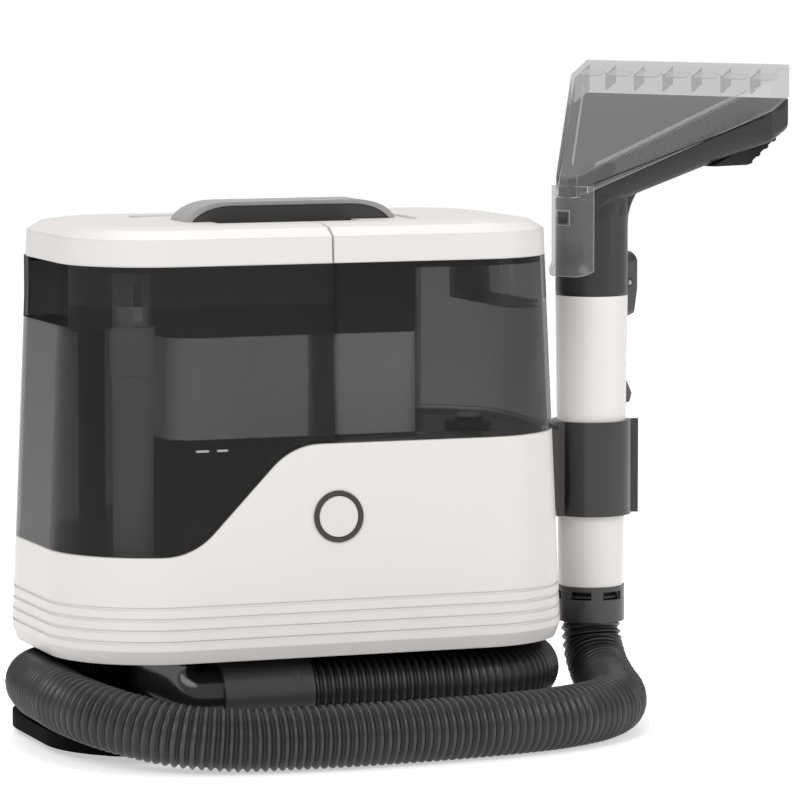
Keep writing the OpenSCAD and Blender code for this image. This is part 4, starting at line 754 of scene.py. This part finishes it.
# %% The rule for a row of pads
def row_tree():
    tree, start, end = new_tree("row of pads", [
        ("Count", "NodeSocketInt", 7), ("Step", "NodeSocketVector", (0, 0, 0)),
        ("Length", "NodeSocketFloat", 0.017), ("Width", "NodeSocketFloat", 0.006),
        ("Height", "NodeSocketFloat", 0.001), ("Corner", "NodeSocketFloat", 0.0015),
        ("Material", "NodeSocketMaterial", None)])
    given = start.outputs
    line = add_node(tree, "GeometryNodeMeshLine",
                    {"Count": given["Count"], "Offset": given["Step"]}, mode="OFFSET")
    outline = add_node(tree, "GeometryNodeCurvePrimitiveQuadrilateral",
                       {"Width": given["Length"], "Height": given["Width"]})
    fillet = add_node(tree, "GeometryNodeFilletCurve",
                      {"Count": 4, "Curve": outline.outputs["Curve"], "Radius": given["Corner"]},
                      mode="POLY")
    fill = add_node(tree, "GeometryNodeFillCurve", {"Curve": fillet.outputs["Curve"]},
                    mode="NGONS").outputs["Mesh"]
    lift = add_node(tree, "GeometryNodeExtrudeMesh",
                    {"Mesh": fill, "Offset Scale": given["Height"]})
    flip = add_node(tree, "GeometryNodeFlipFaces", {"Mesh": fill})
    join = add_node(tree, "GeometryNodeJoinGeometry")
    for part in (lift, flip):
        tree.links.new(part.outputs["Mesh"], join.inputs["Geometry"])
    weld = add_node(tree, "GeometryNodeMergeByDistance",
                    {"Distance": 1e-6, "Geometry": join.outputs["Geometry"]})
    place = add_node(tree, "GeometryNodeInstanceOnPoints",
                     {"Points": line.outputs["Mesh"], "Instance": weld.outputs["Geometry"]})
    real = add_node(tree, "GeometryNodeRealizeInstances",
                    {"Geometry": place.outputs["Instances"]})
    paint_and_end(tree, real.outputs["Geometry"], start, end)
    return tree


pads = row_tree()


def pad_row(name, count, step, size, material, axes, origin, body):
    values = dict(zip(("Length", "Width", "Height", "Corner"), size))
    values.update({"Count": count, "Step": step, "Material": material})
    seed = add_object(name + "_seed", bpy.data.meshes.new(name + "_seed"))
    row = run_tree(seed, pads, values, name)
    row.data.transform(Matrix([(*axis, 0) for axis in axes] + [(*origin, 1)]).transposed())
    return finish_piece(row, material, body, smooth=False)


print("pad tree:", len(pads.nodes), "nodes")


# %% Pads at the mouth
def wand_dir(x, y, z):
    return (on_wand(x, y, z) - on_wand(0, 0, 0)).normalized()


pad_count, pad_x, pad_depth = 7, 86.5, 3.6
cell = 2 * fan_half / pad_count
slope = math.hypot(1, face_slope)
across, down = wand_dir(0, 1, 0), wand_dir(-1 / slope, 0, -face_slope / slope)
# The pads' pale finish is a painted highlight.
pad_row("mouth_pads", pad_count, (cell / 1000, 0, 0), (0.0165, 0.0065, 0.0011, 0.0014),
        finish["frosted"], (across, down, across.cross(down)),
        on_wand(pad_x, -3 * cell, face_z(pad_x) - pad_depth), "nozzle_cover")

# %% Rails under the cover's face
rail_inset, rail_depth = 10.5, 3.2
for side in (-1, 1):
    rail_line = along_flank(side, [-8 + 8 * i for i in range(11)], rail_inset)
    rail = ribbon("cover_rail_" + hand[side], rail_line,
                  lambda x: face_z(x) - rail_depth, 1.5, 0.9)
    # The rails' pale finish is a painted highlight.
    finish_piece(rail, finish["frosted"], "nozzle_cover", smooth=False)

# %% [markdown]
# A small dark catch with a clear frame sits in the cover's tongue. Both are slabs bent round the
# wand's axis, each a few degrees wide to either side of the tongue's middle.

# %% Catch in the cover's tongue
tongue_radius, tongue_turn, cuts = 25.0, 174, 8


def bent_slab(name, z_low, z_high, turn, out):
    verts, faces = [], []
    for i in range(cuts + 1):
        angle = math.radians(tongue_turn - turn + 2 * turn * i / cuts)
        for r in (tongue_radius, tongue_radius + 0.2 + out):
            for z in (z_low, z_high):
                verts.append(on_wand(r * math.cos(angle), r * math.sin(angle), z))
    for i in range(cuts):
        a = 4 * i
        for p, q in ((0, 1), (1, 3), (3, 2), (2, 0)):
            faces.append((a + p, a + q, a + 4 + q, a + 4 + p))
    faces += [(0, 2, 3, 1), (4 * cuts + 1, 4 * cuts + 3, 4 * cuts + 2, 4 * cuts)]
    return new_piece(name, verts, faces)


for name, z_low, z_high, turn, out, worn, slot in (
        ("tongue_catch", 300.5, 307.5, 9, 0.9, "gloss_black", "black_plastic"),
        ("tongue_catch_frame", 299.2, 308.8, 13, 0.4, "clear", "clear_plastic")):
    catch = bent_slab(name, z_low, z_high, turn, out)
    bevel = catch.modifiers.new("edges", "BEVEL")
    bevel.width, bevel.segments = 0.0003, 2
    bake_modifiers(catch)
    finish_piece(catch, finish[worn], "nozzle_cover", smooth=False)

# %% [markdown]
# ## Small marks and grips
# Two short level marks on the dirty tank tell when to empty it. They are thin pads that lean
# with the tank's wall, and so are the ridges that stop a thumb slipping on the latch.

# %% Level marks
wall_out = Vector((0, 0.99903, -0.04396))
wall_up = Vector((0, 0.04396, 0.99903))
mark_y, mark_z = -91.45, 180
for name, x0, x1 in (("level_mark_long", -86.6, -78.7), ("level_mark_short", -73.8, -67.2)):
    pad_row(name, 1, (0, 0, 0), ((x1 - x0) / 1000, 0.0013, 0.0004, 0.0005),
            finish["mark_grey"], (Vector((1, 0, 0)), wall_up, -wall_out),
            at((x0 + x1) / 2, mark_y, mark_z), "dirty_tank")

# %% Thumb ridges
ridge_step, ridge_sink, ridge_start = 0.0034, 0.0001, 0.22
out, along = wand_dir(1, 0, 0), wand_dir(0, 1, 0)
low, high = (Vector(c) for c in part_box("latch"))
reach = max((v.co - on_wand(0, 0, 0)).dot(out) for v in nodes["latch"].data.vertices)
first_ridge = on_wand(0, 0, 0) + out * (reach - ridge_sink)
first_ridge.z = low.z + ridge_start * (high.z - low.z)
pad_row("latch_ridges", 7, (0, ridge_step, 0), (0.0072, 0.0011, 0.0006, 0.0004),
        finish["soft_rubber"], (along, Vector((0, 0, 1)), out), first_ridge,
        "latch")

# %% [markdown]
# ## Floor and light
# A pale floor, brightened only for the camera, gives a clean background and still keeps the
# machine's shadow. Three large soft lamps and an even sky light the machine at a plain level,
# so that a colour comes out about as it is written.

# %% Floor
floor_half, floor_z, floor_glow = 6, -0.0002, 0.5


def seen_directly(tree, in_mirrors):
    ray = add_node(tree, "ShaderNodeLightPath").outputs
    seen = math_node(tree, "MAXIMUM", ray["Is Camera Ray"], ray["Is Transmission Ray"])
    return math_node(tree, "MAXIMUM", seen, ray["Is Glossy Ray"]) if in_mirrors else seen


floor_mesh = bpy.data.meshes.new("studio_floor")
corners = [(x * floor_half, y * floor_half, floor_z)
           for x, y in ((-1, -1), (1, -1), (1, 1), (-1, 1))]
floor_mesh.from_pydata(corners, [], [(0, 1, 2, 3)])
floor = add_object("studio_floor", floor_mesh)
floor_paint, tree, shader = start_material("studio_floor")
for label, value in (("Base Color", (0.9, 0.9, 0.9)), ("Roughness", 0.9),
                     ("Specular IOR Level", 0.0)):
    give(tree, shader.inputs[label], value)
strength = math_node(tree, "MULTIPLY", seen_directly(tree, True), floor_glow)
glow = add_node(tree, "ShaderNodeEmission", {"Color": (1, 1, 1), "Strength": strength})
both = add_node(tree, "ShaderNodeAddShader", {0: shader.outputs[0], 1: glow.outputs[0]})
tree.links.new(both.outputs[0], tree.nodes["Material Output"].inputs["Surface"])
floor_mesh.materials.append(floor_paint)
print("floor set")

# %% Sky and lamps
sky_light, sky_extra = 0.55, 0.45    # for the machine, and what the camera sees on top
world = bpy.data.worlds.new("studio")
world.use_nodes = True
scene.world = world
tree = world.node_tree
sky = tree.nodes["Background"]
give(tree, sky.inputs["Color"], (1, 1, 1))
give(tree, sky.inputs["Strength"],
     math_node(tree, "MULTIPLY_ADD", seen_directly(tree, False), sky_extra, sky_light))


def soft_lamp(name, place, target, size, power):
    data = bpy.data.lights.new(name, "AREA")
    data.shape = "RECTANGLE"
    data.size, data.size_y = size
    data.energy = power
    lamp = add_object(name, data)
    lamp.location = place
    lamp.rotation_euler = (Vector(target) - Vector(place)).to_track_quat("-Z", "Y").to_euler()


soft_lamp("key", (-1.6, -1.9, 1.7), (0, 0, 0.15), (1.1, 1.4), 26)
soft_lamp("fill", (1.9, -1.6, 1.0), (0, 0, 0.15), (1.0, 1.6), 11)
soft_lamp("top", (0.1, 0.3, 2.2), (0, 0, 0.2), (1.6, 1.2), 16)
scene.view_settings.view_transform = "Standard"
print("lamps set")
